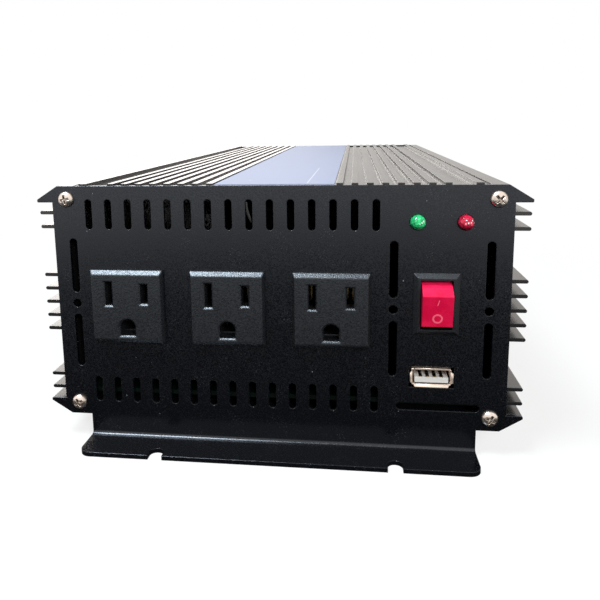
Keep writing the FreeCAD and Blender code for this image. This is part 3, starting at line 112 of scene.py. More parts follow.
class Recipe:
    # the node tree of one material, or of a world that is handed in

    def __init__(self, name, owner=None):
        self.material = owner or bpy.data.materials.new(name)
        self.material.use_nodes = True
        self.tree = self.material.node_tree
        self.tree.nodes.clear()

    def add(self, kind, settings=None, inputs=None, out=0):
        # any node: its settings first, then the values or links of its sockets
        node = self.tree.nodes.new(kind)
        for name, value in (settings or {}).items():
            setattr(node, name, value)
        for name, value in (inputs or {}).items():
            if isinstance(value, Wire):
                self.tree.links.new(value.socket, node.inputs[name])
            else:
                node.inputs[name].default_value = value
        return None if out is None else Wire(self, node.outputs[out])

    def place(self, centre=(0, 0, 0), scale=(1, 1, 1), turn=(0, 0, 0)):
        # Object coordinates about a centre, then turned and stretched
        here = self.add("ShaderNodeTexCoord", out="Object")
        moved = self.add("ShaderNodeVectorMath", {"operation": "SUBTRACT"}, {0: here, 1: centre})
        inputs = {"Vector": moved, "Rotation": turn, "Scale": scale}
        return self.add("ShaderNodeMapping", {"vector_type": "POINT"}, inputs)

    def parts(self, vector, ways="XYZ"):
        return [self.add("ShaderNodeSeparateXYZ", None, {0: vector}, way) for way in ways]

    def noise(self, vector, scale, detail=2.0, rough=0.5):
        inputs = {"Vector": vector, "Scale": scale, "Detail": detail, "Roughness": rough}
        return self.add("ShaderNodeTexNoise", None, inputs)

    def specks(self, vector, scale, size):
        # round specks: 1 inside those cells of a Voronoi pattern whose middle is near
        inputs = {"Vector": vector, "Scale": scale, "Randomness": 1.0}
        away = self.add("ShaderNodeTexVoronoi", {"feature": "F1"}, inputs, "Distance")
        return away.fade(size, 0.5 * size)

    def seen(self, *kinds):
        # 1 for those kinds of ray, such as "Camera"
        rays = [self.add("ShaderNodeLightPath", out=f"Is {kind} Ray") for kind in kinds]
        found = rays[0]
        for ray in rays[1:]:
            found = found.most(ray)
        return found

    def blend(self, factor, low, high):
        return self.add("ShaderNodeMixShader", None, {0: factor, 1: low, 2: high})

    def mix(self, factor, low, high):
        return self.add("ShaderNodeMix", {"data_type": "RGBA"}, {0: factor, 6: low, 7: high}, 2)

    def soften(self, radius):
        # normals rounded over sharp edges
        return self.add("ShaderNodeBevel", {"samples": 4}, {"Radius": radius})

    def bump(self, height, distance, strength=1.0, normal=None):
        inputs = {"Height": height, "Distance": distance, "Strength": strength}
        if normal is not None:
            inputs["Normal"] = normal
        return self.add("ShaderNodeBump", None, inputs)

    def finish(self, **sockets):
        # the surface shader; underscores in the names stand for spaces
        inputs = {name.replace("_", " "): value for name, value in sockets.items()}
        shader = self.add("ShaderNodeBsdfPrincipled", None, inputs)
        self.add("ShaderNodeOutputMaterial", None, {"Surface": shader}, None)
        return self.material


def rgb(red, green, blue):
    return (red, green, blue, 1.0)


finishes = {}

# case extrusion

caseBlack = {"colour": rgb(0.007, 0.0072, 0.0085), "tone": rgb(0.012, 0.0125, 0.014),
             "dust": rgb(0.10, 0.10, 0.10), "dustScale": 900, "dustSize": 0.16, "dustPatch": 60,
             "dustAmount": 0.5, "rough": 0.17, "lineScale": 2600, "lineStretch": 0.004,
             "lineDepth": 0.000012, "lineRough": 0.06, "patchScale": 45, "patchStretch": 0.25,
             "patchRough": 0.08, "edge": 0.00025, "gloss": 0.9, "tint": rgb(1.0, 0.95, 0.90)}


def makeCase(v):
    g = Recipe("anodisedCase")
    lines = g.noise(g.place(scale=(1, v["lineStretch"], 1)), v["lineScale"], 3.0, 0.6)
    patches = g.noise(g.place(scale=(1, v["patchStretch"], 1)), v["patchScale"], 3.0, 0.55)
    dusty = g.noise(g.place(), v["dustPatch"]).fade(0.5, 0.7)
    specks = g.specks(g.place(), v["dustScale"], v["dustSize"]) * dusty
    black = g.mix(lines, v["colour"], v["tone"])
    colour = g.mix(specks * v["dustAmount"], black, v["dust"])
    rough = v["rough"] + v["lineRough"] * lines + v["patchRough"] * patches
    normal = g.bump(lines, v["lineDepth"], 0.35, g.soften(v["edge"]))
    return g.finish(Base_Color=colour, Roughness=rough, Normal=normal,
                    Specular_IOR_Level=v["gloss"], Specular_Tint=v["tint"])


finishes["case_black"] = makeCase(caseBlack)

# end panels

panelBlack = {"colour": rgb(0.0008, 0.0009, 0.0014), "tone": rgb(0.0026, 0.0029, 0.0044),
              "light": rgb(0.06, 0.065, 0.075), "lightScale": 1500, "lightSize": 0.22,
              "lightPatch": 90, "dust": rgb(0.30, 0.33, 0.38), "dustScale": 170,
              "dustSize": 0.036, "dustPatch": 35,
              "rough": 0.135, "grain": 2300, "grainDepth": 0.000016, "grainRough": 0.24,
              "peel": 420, "peelShare": 0.6, "peelRough": 0.04, "edge": 0.00035,
              "gloss": 0.76, "tint": rgb(0.84, 0.90, 1.0),
              "footTop": 0.026, "footLow": 0.008, "footSmoother": 0.08}


def makePanel(v):
    g = Recipe("powderCoat")
    here = g.place()
    grain = g.noise(here, v["grain"], 3.0, 0.62)
    peel = g.noise(here, v["peel"], 2.0, 0.5)
    patch = g.noise(here, v["lightPatch"], 2.0).fade(0.5, 0.7)
    specks = g.specks(here, v["lightScale"], v["lightSize"]) * patch
    paint = g.mix(specks, g.mix(grain, v["colour"], v["tone"]), v["light"])
    dusty = g.noise(here, v["dustPatch"], 2.0).fade(0.42, 0.54)
    dust = g.specks(here, v["dustScale"], v["dustSize"]) * dusty
    # the coat is smoother towards the foot
    foot = g.parts(here, "Z")[0].fade(v["footTop"], v["footLow"])
    rough = v["rough"] + v["grainRough"] * grain.fade(0.3, 0.7) + v["peelRough"] * peel
    rough = rough - v["footSmoother"] * foot
    normal = g.bump(grain + v["peelShare"] * peel, v["grainDepth"], 0.6, g.soften(v["edge"]))
    return g.finish(Base_Color=g.mix(dust, paint, v["dust"]), Roughness=rough, Normal=normal,
                    Specular_IOR_Level=v["gloss"], Specular_Tint=v["tint"])


finishes["panel_black"] = makePanel(panelBlack)

# pale blue strip

stripBlue = {"colour": rgb(0.265, 0.297, 0.415), "pale": rgb(0.303, 0.337, 0.455), "rough": 0.46,
             "cloud": 60, "cloudStretch": 0.5, "cloudRough": 0.05, "grain": 1800, "grainRough": 0.12,
             "grainDepth": 0.00002, "gloss": 0.25, "scratchAt": (0.01101, -0.15833),
             "scratchLean": 0.0067, "scratchLong": 0.0712, "scratchWide": 0.00022,
             "scratchStart": 0.002, "fleckAt": (-0.01021, -0.14822, 0.0928), "fleck": 0.0006,
             "bare": rgb(0.62, 0.62, 0.62), "bareAmount": 0.8}


def makeStrip(v):
    g = Recipe("blueFilm")
    cloud = g.noise(g.place(scale=(1, v["cloudStretch"], 1)), v["cloud"], 3.0, 0.5)
    grain = g.noise(g.place(), v["grain"], 2.0, 0.6)
    # a fine scratch from the front edge, leaning over, and a fleck beside it
    x, y = g.parts(g.place(), "XY")
    along = y - v["scratchAt"][1]
    aside = abs(x - v["scratchAt"][0] - v["scratchLean"] * along)
    wide, far = v["scratchWide"], v["scratchLong"]
    ends = along.fade(-v["scratchStart"], 0.0) * along.fade(far, 0.9 * far)
    scratch = aside.fade(wide, 0.6 * wide) * ends
    near = g.add("ShaderNodeVectorMath", {"operation": "DISTANCE"}, {0: g.place(), 1: v["fleckAt"]},
                 "Value")
    marks = scratch.most(near.fade(v["fleck"], 0.7 * v["fleck"]))
    colour = g.mix(v["bareAmount"] * marks, g.mix(cloud, v["colour"], v["pale"]), v["bare"])
    rough = v["rough"] + v["grainRough"] * grain + v["cloudRough"] * cloud
    return g.finish(Base_Color=colour, Roughness=rough, Normal=g.bump(grain, v["grainDepth"], 0.4),
                    Specular_IOR_Level=v["gloss"])


finishes["label_blue"] = makeStrip(stripBlue)

# moulded plastics; a row's own values stand over the common ones

mouldingCommon = {"gloss": 0.5, "tint": rgb(1, 1, 1), "grainRough": 0.20, "cloud": 90,
                  "cloudRough": 0.06}
mouldings = {
    "outlet_black": {"colour": rgb(0.006, 0.0065, 0.008), "tone": rgb(0.012, 0.0128, 0.015),
                     "rough": 0.29, "grain": 2100, "depth": 0.00013, "edge": 0.0004,
                     "gloss": 0.88, "tint": rgb(0.82, 0.91, 1.0)},
    "bezel_black": {"colour": rgb(0.004, 0.0044, 0.0055), "tone": rgb(0.008, 0.0088, 0.0105),
                    "rough": 0.32, "grain": 2600, "depth": 0.00004, "edge": 0.0003,
                    "gloss": 0.8, "tint": rgb(0.82, 0.91, 1.0)},
    "chip_black": {"colour": rgb(0.015, 0.015, 0.016), "tone": rgb(0.028, 0.028, 0.03),
                   "rough": 0.55, "grain": 2200, "depth": 0.00004, "edge": 0.0002},
    "bobbin_black": {"colour": rgb(0.018, 0.018, 0.018), "tone": rgb(0.03, 0.03, 0.03),
                     "rough": 0.5, "grain": 1500, "depth": 0.00004, "edge": 0.0002},
    "fan_black": {"colour": rgb(0.006, 0.006, 0.0068), "tone": rgb(0.011, 0.011, 0.0125),
                  "rough": 0.6, "grain": 1300, "depth": 0.00004, "edge": 0.0003,
                  "gloss": 0.2},
    "post_black": {"colour": rgb(0.013, 0.013, 0.014), "tone": rgb(0.024, 0.024, 0.026),
                   "rough": 0.3, "grain": 1500, "depth": 0.00003, "edge": 0.0003},
    "post_red": {"colour": rgb(0.48, 0.012, 0.02), "tone": rgb(0.6, 0.03, 0.035),
                 "rough": 0.3, "grain": 1500, "depth": 0.00003, "edge": 0.0003},
    "usb_white": {"colour": rgb(0.56, 0.55, 0.53), "tone": rgb(0.64, 0.63, 0.60),
                  "rough": 0.4, "grain": 2600, "depth": 0.00003, "edge": 0.00015},
    "can_sleeve": {"colour": rgb(0.012, 0.02, 0.05), "tone": rgb(0.02, 0.035, 0.08),
                   "rough": 0.25, "grain": 700, "depth": 0.00005, "edge": 0.0004},
    "fuse_amber": {"colour": rgb(0.62, 0.30, 0.03), "tone": rgb(0.75, 0.42, 0.06),
                   "rough": 0.25, "grain": 900, "depth": 0.00003, "edge": 0.0003},
    "pad_grey": {"colour": rgb(0.42, 0.43, 0.45), "tone": rgb(0.52, 0.53, 0.55),
                 "rough": 0.75, "grain": 1800, "depth": 0.00006, "edge": 0.0001},
    "ferrite": {"colour": rgb(0.018, 0.018, 0.02), "tone": rgb(0.035, 0.034, 0.037),
                "rough": 0.6, "grain": 2400, "depth": 0.00008, "edge": 0.0004},
    # the tape is coloured near black: painted shade inside the case in place of its own yellow
    "winding_tape": {"colour": rgb(0.020, 0.016, 0.012), "tone": rgb(0.035, 0.028, 0.02),
                     "rough": 0.4, "grain": 260, "depth": 0.0002, "edge": 0.0003},
}


def makeMoulding(slot, v):
    g = Recipe("moulded_" + slot)
    here = g.place()
    grain = g.noise(here, v["grain"], 3.0, 0.6)
    cloud = g.noise(here, v["cloud"], 3.0, 0.5)
    colour = g.mix(0.6 * grain + 0.4 * cloud, v["colour"], v["tone"])
    # the grain takes the roughness from a little below its value to as much above
    rough = v["rough"] - 0.5 * v["grainRough"] + v["grainRough"] * grain.fade(0.35, 0.65)
    rough = rough + v["cloudRough"] * cloud
    normal = g.bump(grain, v["depth"], 0.6, g.soften(v["edge"]))
    return g.finish(Base_Color=colour, Roughness=rough, Normal=normal,
                    Specular_IOR_Level=v["gloss"], Specular_Tint=v["tint"])


for slot, values in mouldings.items():
    finishes[slot] = makeMoulding(slot, {**mouldingCommon, **values})

# metals; a row's own values stand over the common ones

# the near-black colour at the end is the painted shade put into recesses
metalCommon = {"metal": 1.0, "fine": 3200, "fineDepth": 0.00002, "fineRough": 0.06, "blotch": 520,
               "blotchRough": 0.14, "edge": 0.00012, "shade": 0, "shut": 0.15, "clear": 0.6,
               "recessShade": rgb(0.012, 0.010, 0.009)}
metals = {
    # screw_steel and usb_nickel are tinted warmer than their bare metals: a painted warm reflection
    "screw_steel": {"colour": rgb(0.96, 0.85, 0.76), "dull": rgb(0.70, 0.61, 0.54), "rough": 0.22,
                    "shade": 0.0014, "shut": 0.22, "clear": 0.6},
    "usb_nickel": {"colour": rgb(0.90, 0.74, 0.63), "dull": rgb(0.80, 0.65, 0.54), "rough": 0.3,
                   "metal": 0.7, "shade": 0.0024},
    "contact_brass": {"colour": rgb(0.60, 0.42, 0.18), "dull": rgb(0.36, 0.25, 0.10), "rough": 0.36,
                      "shade": 0.006, "shut": 0.3, "clear": 0.7},
    "tin_plate": {"colour": rgb(0.68, 0.68, 0.66), "dull": rgb(0.48, 0.48, 0.46), "rough": 0.38},
    "bar_aluminium": {"colour": rgb(0.66, 0.67, 0.68), "dull": rgb(0.5, 0.51, 0.52), "rough": 0.4},
    "copper_wire": {"colour": rgb(0.58, 0.22, 0.08), "dull": rgb(0.36, 0.12, 0.04), "rough": 0.3},
    "guard_chrome": {"colour": rgb(0.76, 0.76, 0.77), "dull": rgb(0.6, 0.6, 0.61), "rough": 0.16},
    "steel": {"colour": rgb(0.56, 0.56, 0.57), "dull": rgb(0.4, 0.4, 0.4), "rough": 0.34},
}


def makeMetal(slot, v):
    g = Recipe("metal_" + slot)
    here = g.place()
    fine = g.noise(here, v["fine"], 3.0, 0.6)
    blotch = g.noise(here, v["blotch"], 3.0, 0.55)
    colour = g.mix(blotch.fade(0.42, 0.75), v["colour"], v["dull"])
    # the patterns only add to the roughness, so it starts a little below its value
    rough = v["rough"] - 0.05 + v["blotchRough"] * blotch + v["fineRough"] * fine
    normal = g.bump(fine, v["fineDepth"], 0.5, g.soften(v["edge"]))
    if v["shade"]:
        # painted shade: the colour goes over to a near-black shade colour where ambient occlusion
        # finds the surface closed in, as in recesses
        reach = {"Distance": v["shade"]}
        exposed = g.add("ShaderNodeAmbientOcclusion", {"samples": 8}, reach, "AO")
        colour = g.mix(exposed.fade(v["shut"], v["clear"]), v["recessShade"], colour)
    return g.finish(Base_Color=colour, Roughness=rough, Metallic=v["metal"], Normal=normal)


for slot, values in metals.items():
    finishes[slot] = makeMetal(slot, {**metalCommon, **values})

# circuit boards

# the mask and track colours are nearly black: painted shade for boards that sit in the dark inside
# the case
boardGreen = {"mask": rgb(0.0006, 0.0032, 0.0020), "track": rgb(0.0012, 0.006, 0.0034),
              "trackScale": 260, "trackFrom": 0.30, "trackTo": 0.36, "trackDepth": 0.00004,
              "rough": 0.5, "grain": 2500, "grainRough": 0.1, "gloss": 0.25}


def makeBoard(v):
    g = Recipe("solderMask")
    here = g.place()
    cells = g.add("ShaderNodeTexVoronoi", {"feature": "F1", "distance": "CHEBYCHEV"},
                  {"Vector": here, "Scale": v["trackScale"]}, "Distance")
    tracks = cells.fade(v["trackFrom"], v["trackTo"])
    rough = v["rough"] + v["grainRough"] * g.noise(here, v["grain"])
    normal = g.bump(tracks, v["trackDepth"], 0.5)
    return g.finish(Base_Color=g.mix(tracks, v["track"], v["mask"]), Roughness=rough, Normal=normal,
                    Specular_IOR_Level=v["gloss"])


finishes["board_green"] = makeBoard(boardGreen)

# rocker

rockerRed = {"colour": rgb(0.60, 0.003, 0.045), "light": rgb(0.80, 0.013, 0.079), "rough": 0.34,
             "cloud": 180, "grain": 3000, "grainRough": 0.08, "edge": 0.0003, "gloss": 0.3,
             "mark": rgb(0.95, 0.16, 0.24), "markAmount": 0.75, "markHeight": 1.4, "depth": 0.00012,
             "pivot": (0.0537, -0.1621, 0.0532), "tilt": 10.0, "faceAt": (-0.0071, -0.0074),
             "ringAt": -0.00246, "ringRadius": 0.00138, "stroke": 0.00032, "barAt": (0.0001, 0.0032),
             "barLean": 0.27, "barHalf": 0.00095, "evenFrom": -0.004, "evenAmount": 0.45}


def makeRocker(v):
    g = Recipe("redRocker")
    here = g.place()
    cloud = g.noise(here, v["cloud"], 3.0, 0.5)
    grain = g.noise(here, v["grain"])
    # places are taken about the pivot, with the face turned upright by the tilt in degrees
    level = g.place(v["pivot"], (1, 1, 1), (-math.radians(v["tilt"]), 0, 0))
    x, y, z = g.parts(level)
    onFace = y.fade(*v["faceAt"])
    # ring: distance from a circle; bar: distance from a leaning line, cut off at its ends
    rise = z - v["ringAt"]
    away = (x * x + rise * rise) ** 0.5
    ring = abs(away - v["ringRadius"]).fade(v["stroke"], 0.8 * v["stroke"])
    up = z - v["barAt"][1]
    across = x - v["barAt"][0] - v["barLean"] * up
    ends = abs(up).fade(1.05 * v["barHalf"], v["barHalf"])
    bar = abs(across).fade(0.6 * v["stroke"], 0.4 * v["stroke"]) * ends
    marks = ring.most(bar) * onFace
    # the face is an even, deeper red above the ring
    even = rise.fade(v["evenFrom"], 0.0) * onFace
    red = g.mix((0.55 * cloud + 0.45 * grain).fade(0.38, 0.62), v["colour"], v["light"])
    body = g.mix(v["evenAmount"] * even, red, v["colour"])
    normal = g.bump(grain + v["markHeight"] * marks, v["depth"], 0.5, g.soften(v["edge"]))
    return g.finish(Base_Color=g.mix(v["markAmount"] * marks, body, v["mark"]),
                    Roughness=v["rough"] + v["grainRough"] * grain, Normal=normal,
                    Specular_IOR_Level=v["gloss"])


finishes["rocker_red"] = makeRocker(rockerRed)

# lamps

lampCommon = {"at": 0.0805, "facets": 950, "facetDepth": 0.0003, "facetSoft": 0.12, "rough": 0.05,
              "facetRough": 0.04, "gloss": 0.6, "pits": (0.45, 0.75), "pitAmount": 0.8,
              "lowAt": (-0.0004, -0.0012), "glint": rgb(0.92, 0.92, 0.90), "glintSize": 0.34,
              "glintRight": (-0.0010, -0.0004), "glintUp": (-0.0008, -0.0002),
              "glintTop": (0.0017, 0.0012)}
lampTints = {
    "lamp_green": {"colour": rgb(0.022, 0.53, 0.175), "deep": rgb(0.008, 0.22, 0.075),
                   "across": 0.0472, "glintScale": 900},
    "lamp_red": {"colour": rgb(0.60, 0.012, 0.055), "deep": rgb(0.22, 0.002, 0.018),
                 "across": 0.0623, "glintScale": 980},
}


def makeLamp(slot, v):
    g = Recipe("lens_" + slot)
    here = g.place()
    x, z = g.parts(here, "XZ")
    inputs = {"Vector": here, "Scale": v["facets"], "Smoothness": v["facetSoft"]}
    facets = g.add("ShaderNodeTexVoronoi", {"feature": "SMOOTH_F1"}, inputs, "Distance")
    # deep below the middle and in the pits, with small painted glints right of the middle: white
    # specks that stand for highlights
    rise = z - v["at"]
    low = (rise + 0.0004 * facets).fade(*v["lowAt"])
    body = g.mix(low.most(v["pitAmount"] * facets.fade(*v["pits"])), v["colour"], v["deep"])
    right = (x - v["across"]).fade(*v["glintRight"])
    glints = g.specks(here, v["glintScale"], v["glintSize"]) * right
    glints = glints * rise.fade(*v["glintUp"]) * rise.fade(*v["glintTop"])
    rough = v["rough"] + v["facetRough"] * facets
    normal = g.bump(facets, v["facetDepth"], 0.9)
    return g.finish(Base_Color=g.mix(glints, body, v["glint"]), Roughness=rough, Normal=normal,
                    Specular_IOR_Level=v["gloss"])


for slot, values in lampTints.items():
    finishes[slot] = makeLamp(slot, {**lampCommon, **values})

slots = {part["node"]: part["material_slot"] for part in frame["record"]["subparts"]}
for name, slot in slots.items():
    mesh = frame["nodes"][name].data
    mesh.materials.clear()
    mesh.materials.append(finishes[slot])
print("finishes:", len(finishes))

# finer pieces


class Form:
    # points and faces of one piece, gathered surface by surface

    def __init__(self):
        self.points = np.zeros((0, 3))
        self.faces = []

    def sheet(self, grid, capped=False, ringed=False):
        # quads between the neighbours of a grid of points; each row closes on itself
        rows, columns = grid.shape[:2]
        index = np.arange(rows * columns).reshape(rows, columns) + len(self.points)
        here, there = (index, np.roll(index, -1, 0)) if ringed else (index[:-1], index[1:])
        quads = np.stack([here, there, np.roll(there, -1, 1), np.roll(here, -1, 1)], -1)
        self.faces += quads.reshape(-1, 4).tolist()
        if capped:
            self.faces += [index[0].tolist(), index[-1][::-1].tolist()]
        self.points = np.vstack([self.points, grid.reshape(-1, 3)])

    def piece(self, name, node, body):
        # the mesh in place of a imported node, riding on a body
        mesh = bpy.data.meshes.new(name)
        mesh.from_pydata(self.points.tolist(), [], self.faces)
        mesh.polygons.foreach_set("use_smooth", [True] * len(self.faces))
        return stand(bpy.data.objects.new(name, mesh), node, body)


def stand(piece, node, body):
    piece.data.materials.clear()
    piece.data.materials.append(finishes[slots[node]])
    bpy.context.scene.collection.objects.link(piece)
    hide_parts(node)
    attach(piece, body)
    return piece


def smooth(value, low, high):
    # 0 at low, 1 at high, three t squared minus two t cubed between
    t = np.clip((value - low) / (high - low), 0, 1)
    return t * t * (3 - 2 * t)


# screws

frontWays = ((1, 0, 0), (0, 0, 1), (0, -1, 0))  # across, up and out of the panel
rearWays = ((-1, 0, 0), (0, 0, 1), (0, 1, 0))
smallScrew = {"head": 0.0028, "height": 0.0019, "shank": 0.0015, "length": 0.012, "columns": 56}
screwSets = {
    "front_panel_screws": {**smallScrew, "ways": frontWays, "turns": (0.5, 0.2, 1.1, 0.72),
                           "at": [(x, -0.1645, z) for x in (-0.0723, 0.0723)
                                  for z in (0.01375, 0.08805)], "columns": 96},
    "rear_panel_screws": {**smallScrew, "ways": rearWays, "turns": (0.3, 0.9, 0.1, 0.6),
                          "at": [(x, 0.1555, z) for x in (-0.0723, 0.0723)
                                 for z in (0.01375, 0.08805)]},
    "fan_screws": {**smallScrew, "ways": rearWays, "turns": (0.8, 0.15, 1.3, 0.4),
                   "at": [(x, 0.1571, z) for x in (-0.059, -0.009) for z in (0.0259, 0.0759)],
                   "length": 0.010},
    "ground_screw": {"ways": rearWays, "turns": (0.35,), "at": [(0.039, 0.1555, 0.026)],
                     "head": 0.004, "height": 0.0026, "shank": 0.002, "length": 0.009,
                     "columns": 56},
}
# shares of the head's radius, and of its height for the depth; turns are radians
recess = {"half": 0.58, "width": 0.125, "depth": 0.72, "taper": 0.5, "edge": 0.028,
          "eye": 0.008, "rim": 0.68, "dome": (2.6, 2.2)}


def makeScrews(rows, cross):
    # Head height over the panel at radius r: H (1 - (r/R)^2.6)^(1/2.2). The cross is cut below it:
    # each arm is as deep as D (1 - taper |a| / half), faded out at its sides and its end.
    half, width, edge, rim = (cross[key] for key in ("half", "width", "edge", "rim"))
    for name, v in rows.items():
        form = Form()
        u, w, out = (np.array(way) for way in v["ways"])
        turn = np.linspace(0, 2 * np.pi, v["columns"], endpoint=False)
        inner = np.linspace(cross["eye"], rim, v["columns"] // 3)
        outer = rim + (1 - rim) * np.sin(np.linspace(0, np.pi / 2, 16))[1:]
        share = np.concatenate([inner, outer])
        for at, own in zip(v["at"], v["turns"]):
            r, a = np.meshgrid(share, turn, indexing="ij")
            tall = (1 - np.minimum(r, 1) ** cross["dome"][0]) ** (1 / cross["dome"][1])
            x, y = r * np.cos(a - own), r * np.sin(a - own)
            cut = np.zeros_like(r)
            for along, across in ((x, y), (y, x)):
                arm = cross["depth"] * (1 - cross["taper"] * np.abs(along) / half)
                arm = arm * (1 - smooth(np.abs(along), half - 2 * edge, half))
                side = 1 - smooth(np.abs(across), width - edge, width + edge)
                cut = np.maximum(cut, arm * side)
            neck = np.full(v["columns"], v["shank"])
            r = np.vstack([r * v["head"], neck, neck])
            a = np.vstack([a, turn, turn])
            up = np.vstack([(tall - cut) * v["height"], 0 * neck, 0 * neck - v["length"]])
            grid = np.array(at) + (r * np.cos(a))[..., None] * u + (r * np.sin(a))[..., None] * w
            form.sheet((grid + up[..., None] * out)[::-1], capped=True)
        form.piece(name.title().replace("_", ""), name, "case")


makeScrews(screwSets, recess)

# finger guard

guardWire = {"centre": (-0.034, 0.0509), "wire": 0.00079, "rings": (0.0072, 0.0144, 0.0216, 0.0288),
             "ringY": 0.1579, "armY": 0.1563, "corner": 0.025, "eye": 0.0025}


def makeGuard(v):
    # A torus for each ring: (R + w cos b) round the fan's axis, w sin b along it. The arms are the
    # same round wire, straight from corner to corner, and each eye is a small torus.
    form = Form()
    b = np.linspace(0, 2 * np.pi, 14, endpoint=False)
    fanX, fanZ = v["centre"]

    def torus(x, y, z, ring, count):
        a = np.linspace(0, 2 * np.pi, count, endpoint=False)[:, None]
        reach = ring + v["wire"] * np.cos(b)
        depth = y + v["wire"] * np.sin(b) + 0 * a
        grid = np.stack([x + reach * np.cos(a), depth, z + reach * np.sin(a)], -1)
        form.sheet(grid, ringed=True)

    for ring in v["rings"]:
        torus(fanX, v["ringY"], fanZ, ring, 120)
    for side in (-1, 1):
        for up in (-1, 1):
            torus(fanX + side * v["corner"], v["armY"], fanZ + up * v["corner"], v["eye"], 36)
        along = np.array([1, 0, side]) / math.sqrt(2)
        aside = np.array([-side, 0, 1]) / math.sqrt(2)
        reach = v["corner"] * math.sqrt(2) - v["eye"]
        ends = np.array([-reach, reach])[:, None, None] * along
        section = np.cos(b)[:, None] * aside + np.sin(b)[:, None] * np.array([0, 1, 0])
        middle = np.array([fanX, v["armY"], fanZ])
        form.sheet(middle + ends + v["wire"] * section[None], capped=True)
    form.piece("guardWires", "fan_guard", "case")


makeGuard(guardWire)

# fan wheel

fanWheel = {"centre": (-0.034, 0.0509), "face": 0.1519, "back": 0.1379, "hub": 0.013, "sheet": 0.0015,
            "round": 0.0022, "shaft": 0.0015, "sunk": 0.0006, "tip": 0.0274, "blades": 7,
            "chord": (0.0155, 0.0225), "pitch": (42, 60), "camber": 0.0016, "thick": 0.0012,
            "phase": 0.69}  # the pitch is in degrees and the phase in radians


def makeFan(v):
    # The hub is a turned cup with a rounded nose. A blade's point at share s of the chord, from -1/2
    # to 1/2, and radius r lies c s sin(p) / r round the axis and c s cos(p) + m (1 - 4 s^2) along
    # it, with chord c and pitch p running evenly from root to tip. The blade's thickness there is
    # T sqrt(1.02 - 4 s^2), half of it each way.
    form = Form()
    x0, z0 = v["centre"]
    turn = np.linspace(0, 2 * np.pi, 72, endpoint=False)

    def place(r, a, y):
        return np.stack([x0 + r * np.cos(a), y + 0 * a, z0 + r * np.sin(a)], -1)

    nose = np.linspace(0, np.pi / 2, 7)
    cup, floor = v["hub"] - v["sheet"], v["face"] - v["sheet"]
    noseR = v["hub"] - v["round"] * (1 - np.sin(nose))
    noseY = v["face"] - v["round"] * (1 - np.cos(nose))
    r = np.concatenate([[v["shaft"], v["shaft"]], noseR, [v["hub"], cup, cup]])
    y = np.concatenate([[floor, v["face"]], noseY, [v["back"], v["back"], floor]])
    form.sheet(place(r[:, None], turn[None], y[:, None])[::-1], ringed=True)
    across, out = np.linspace(-0.5, 0.5, 15), np.linspace(0, 1, 14)
    s, k = np.meshgrid(across, out, indexing="ij")
    root = v["hub"] - v["sunk"]
    r = root + (v["tip"] - root) * k
    chord = v["chord"][0] + (v["chord"][1] - v["chord"][0]) * k
    pitch = np.radians(v["pitch"][0] + (v["pitch"][1] - v["pitch"][0]) * k)
    half = 0.5 * v["thick"] * np.sqrt(np.clip(1.02 - 4 * s * s, 0, 1))
    middle = 0.5 * (v["face"] + v["back"]) + v["camber"] * (1 - 4 * s * s)
    for blade in range(v["blades"]):
        start = v["phase"] + 2 * np.pi * blade / v["blades"]
        faces = []
        for off in (-half, half):
            a = start - (chord * s * np.sin(pitch) + off * np.cos(pitch)) / r
            faces.append(place(r, a, middle + chord * s * np.cos(pitch) - off * np.sin(pitch)))
        around = np.concatenate([faces[0], faces[1][::-1]])
        form.sheet(around.transpose(1, 0, 2), capped=True)
    form.piece("fanWheel", "fan_rotor", "fan_rotor")


makeFan(fanWheel)

# USB shell

usbMouth = {"middle": (0.0528, 0.0276), "y": -0.1653, "half": (0.00655, 0.00286), "sheet": 0.0003,
            "corner": 0.0006, "length": 0.014, "flare": 0.00058, "start": 0.0009, "nip": 0.0005,
            "tuck": 0.00012}


def makeUsb(v):
    # The tube is a rounded rectangle drawn along Y. Each side ends in a lip: at share t of its
    # length the sheet stands out by F t^1.6 and comes forward by S t, its inner face lies back by
    # K t, and its corners are nipped off, the lip narrowing by N t at both ends.
    form = Form()
    x0, z0 = v["middle"]
    wide, tall = v["half"]
    front, back = v["y"] + v["start"], v["y"] + v["length"]
    quarter = np.array([(1, 1), (-1, 1), (-1, -1), (1, -1)])[:, None]
    a = np.linspace(0, np.pi / 2, 7) + np.arange(4)[:, None] * np.pi / 2
    rows = []
    for inset, y in ((0, front), (0, back), (v["sheet"], back), (v["sheet"], front)):
        # corner arcs of a rounded rectangle, one after another
        x = x0 + quarter[..., 0] * (wide - v["corner"]) + (v["corner"] - inset) * np.cos(a)
        z = z0 + quarter[..., 1] * (tall - v["corner"]) + (v["corner"] - inset) * np.sin(a)
        rows.append(np.stack([x.ravel(), np.full(x.size, y), z.ravel()], -1))
    form.sheet(np.array(rows), ringed=True)
    t = np.linspace(0, 1, 9)
    for out, across, reach, half in (((0, 1), (1, 0), tall, wide), ((0, -1), (-1, 0), tall, wide),
                                     ((1, 0), (0, -1), wide, tall), ((-1, 0), (0, 1), wide, tall)):
        rise = v["flare"] * t ** 1.6
        y = front - v["start"] * t
        outer = np.stack([reach + rise, y], -1)
        inner = np.stack([reach - v["sheet"] + rise, y + v["tuck"] * t], -1)
        section = np.concatenate([outer, inner[::-1]])
        share = np.concatenate([t, t[::-1]])
        ends = []
        for side in (-1, 1):
            along = side * (half - v["corner"] - v["nip"] * share)
            ends.append(np.stack([x0 + section[:, 0] * out[0] + along * across[0], section[:, 1],
                                  z0 + section[:, 0] * out[1] + along * across[1]], -1))
        form.sheet(np.array(ends), capped=True)
    form.piece("usbShell", "usb_shell", "case")


makeUsb(usbMouth)

# outlet faces

outletCopy = {"face": -0.1674, "flatHalf": 0.0115, "wideHalf": 0.0122, "bevel": 0.0009,
              "slotBevel": 0.3, "outer": 0.0108,
              "middles": {"left": -0.05175, "middle": -0.01625, "right": 0.01925}}


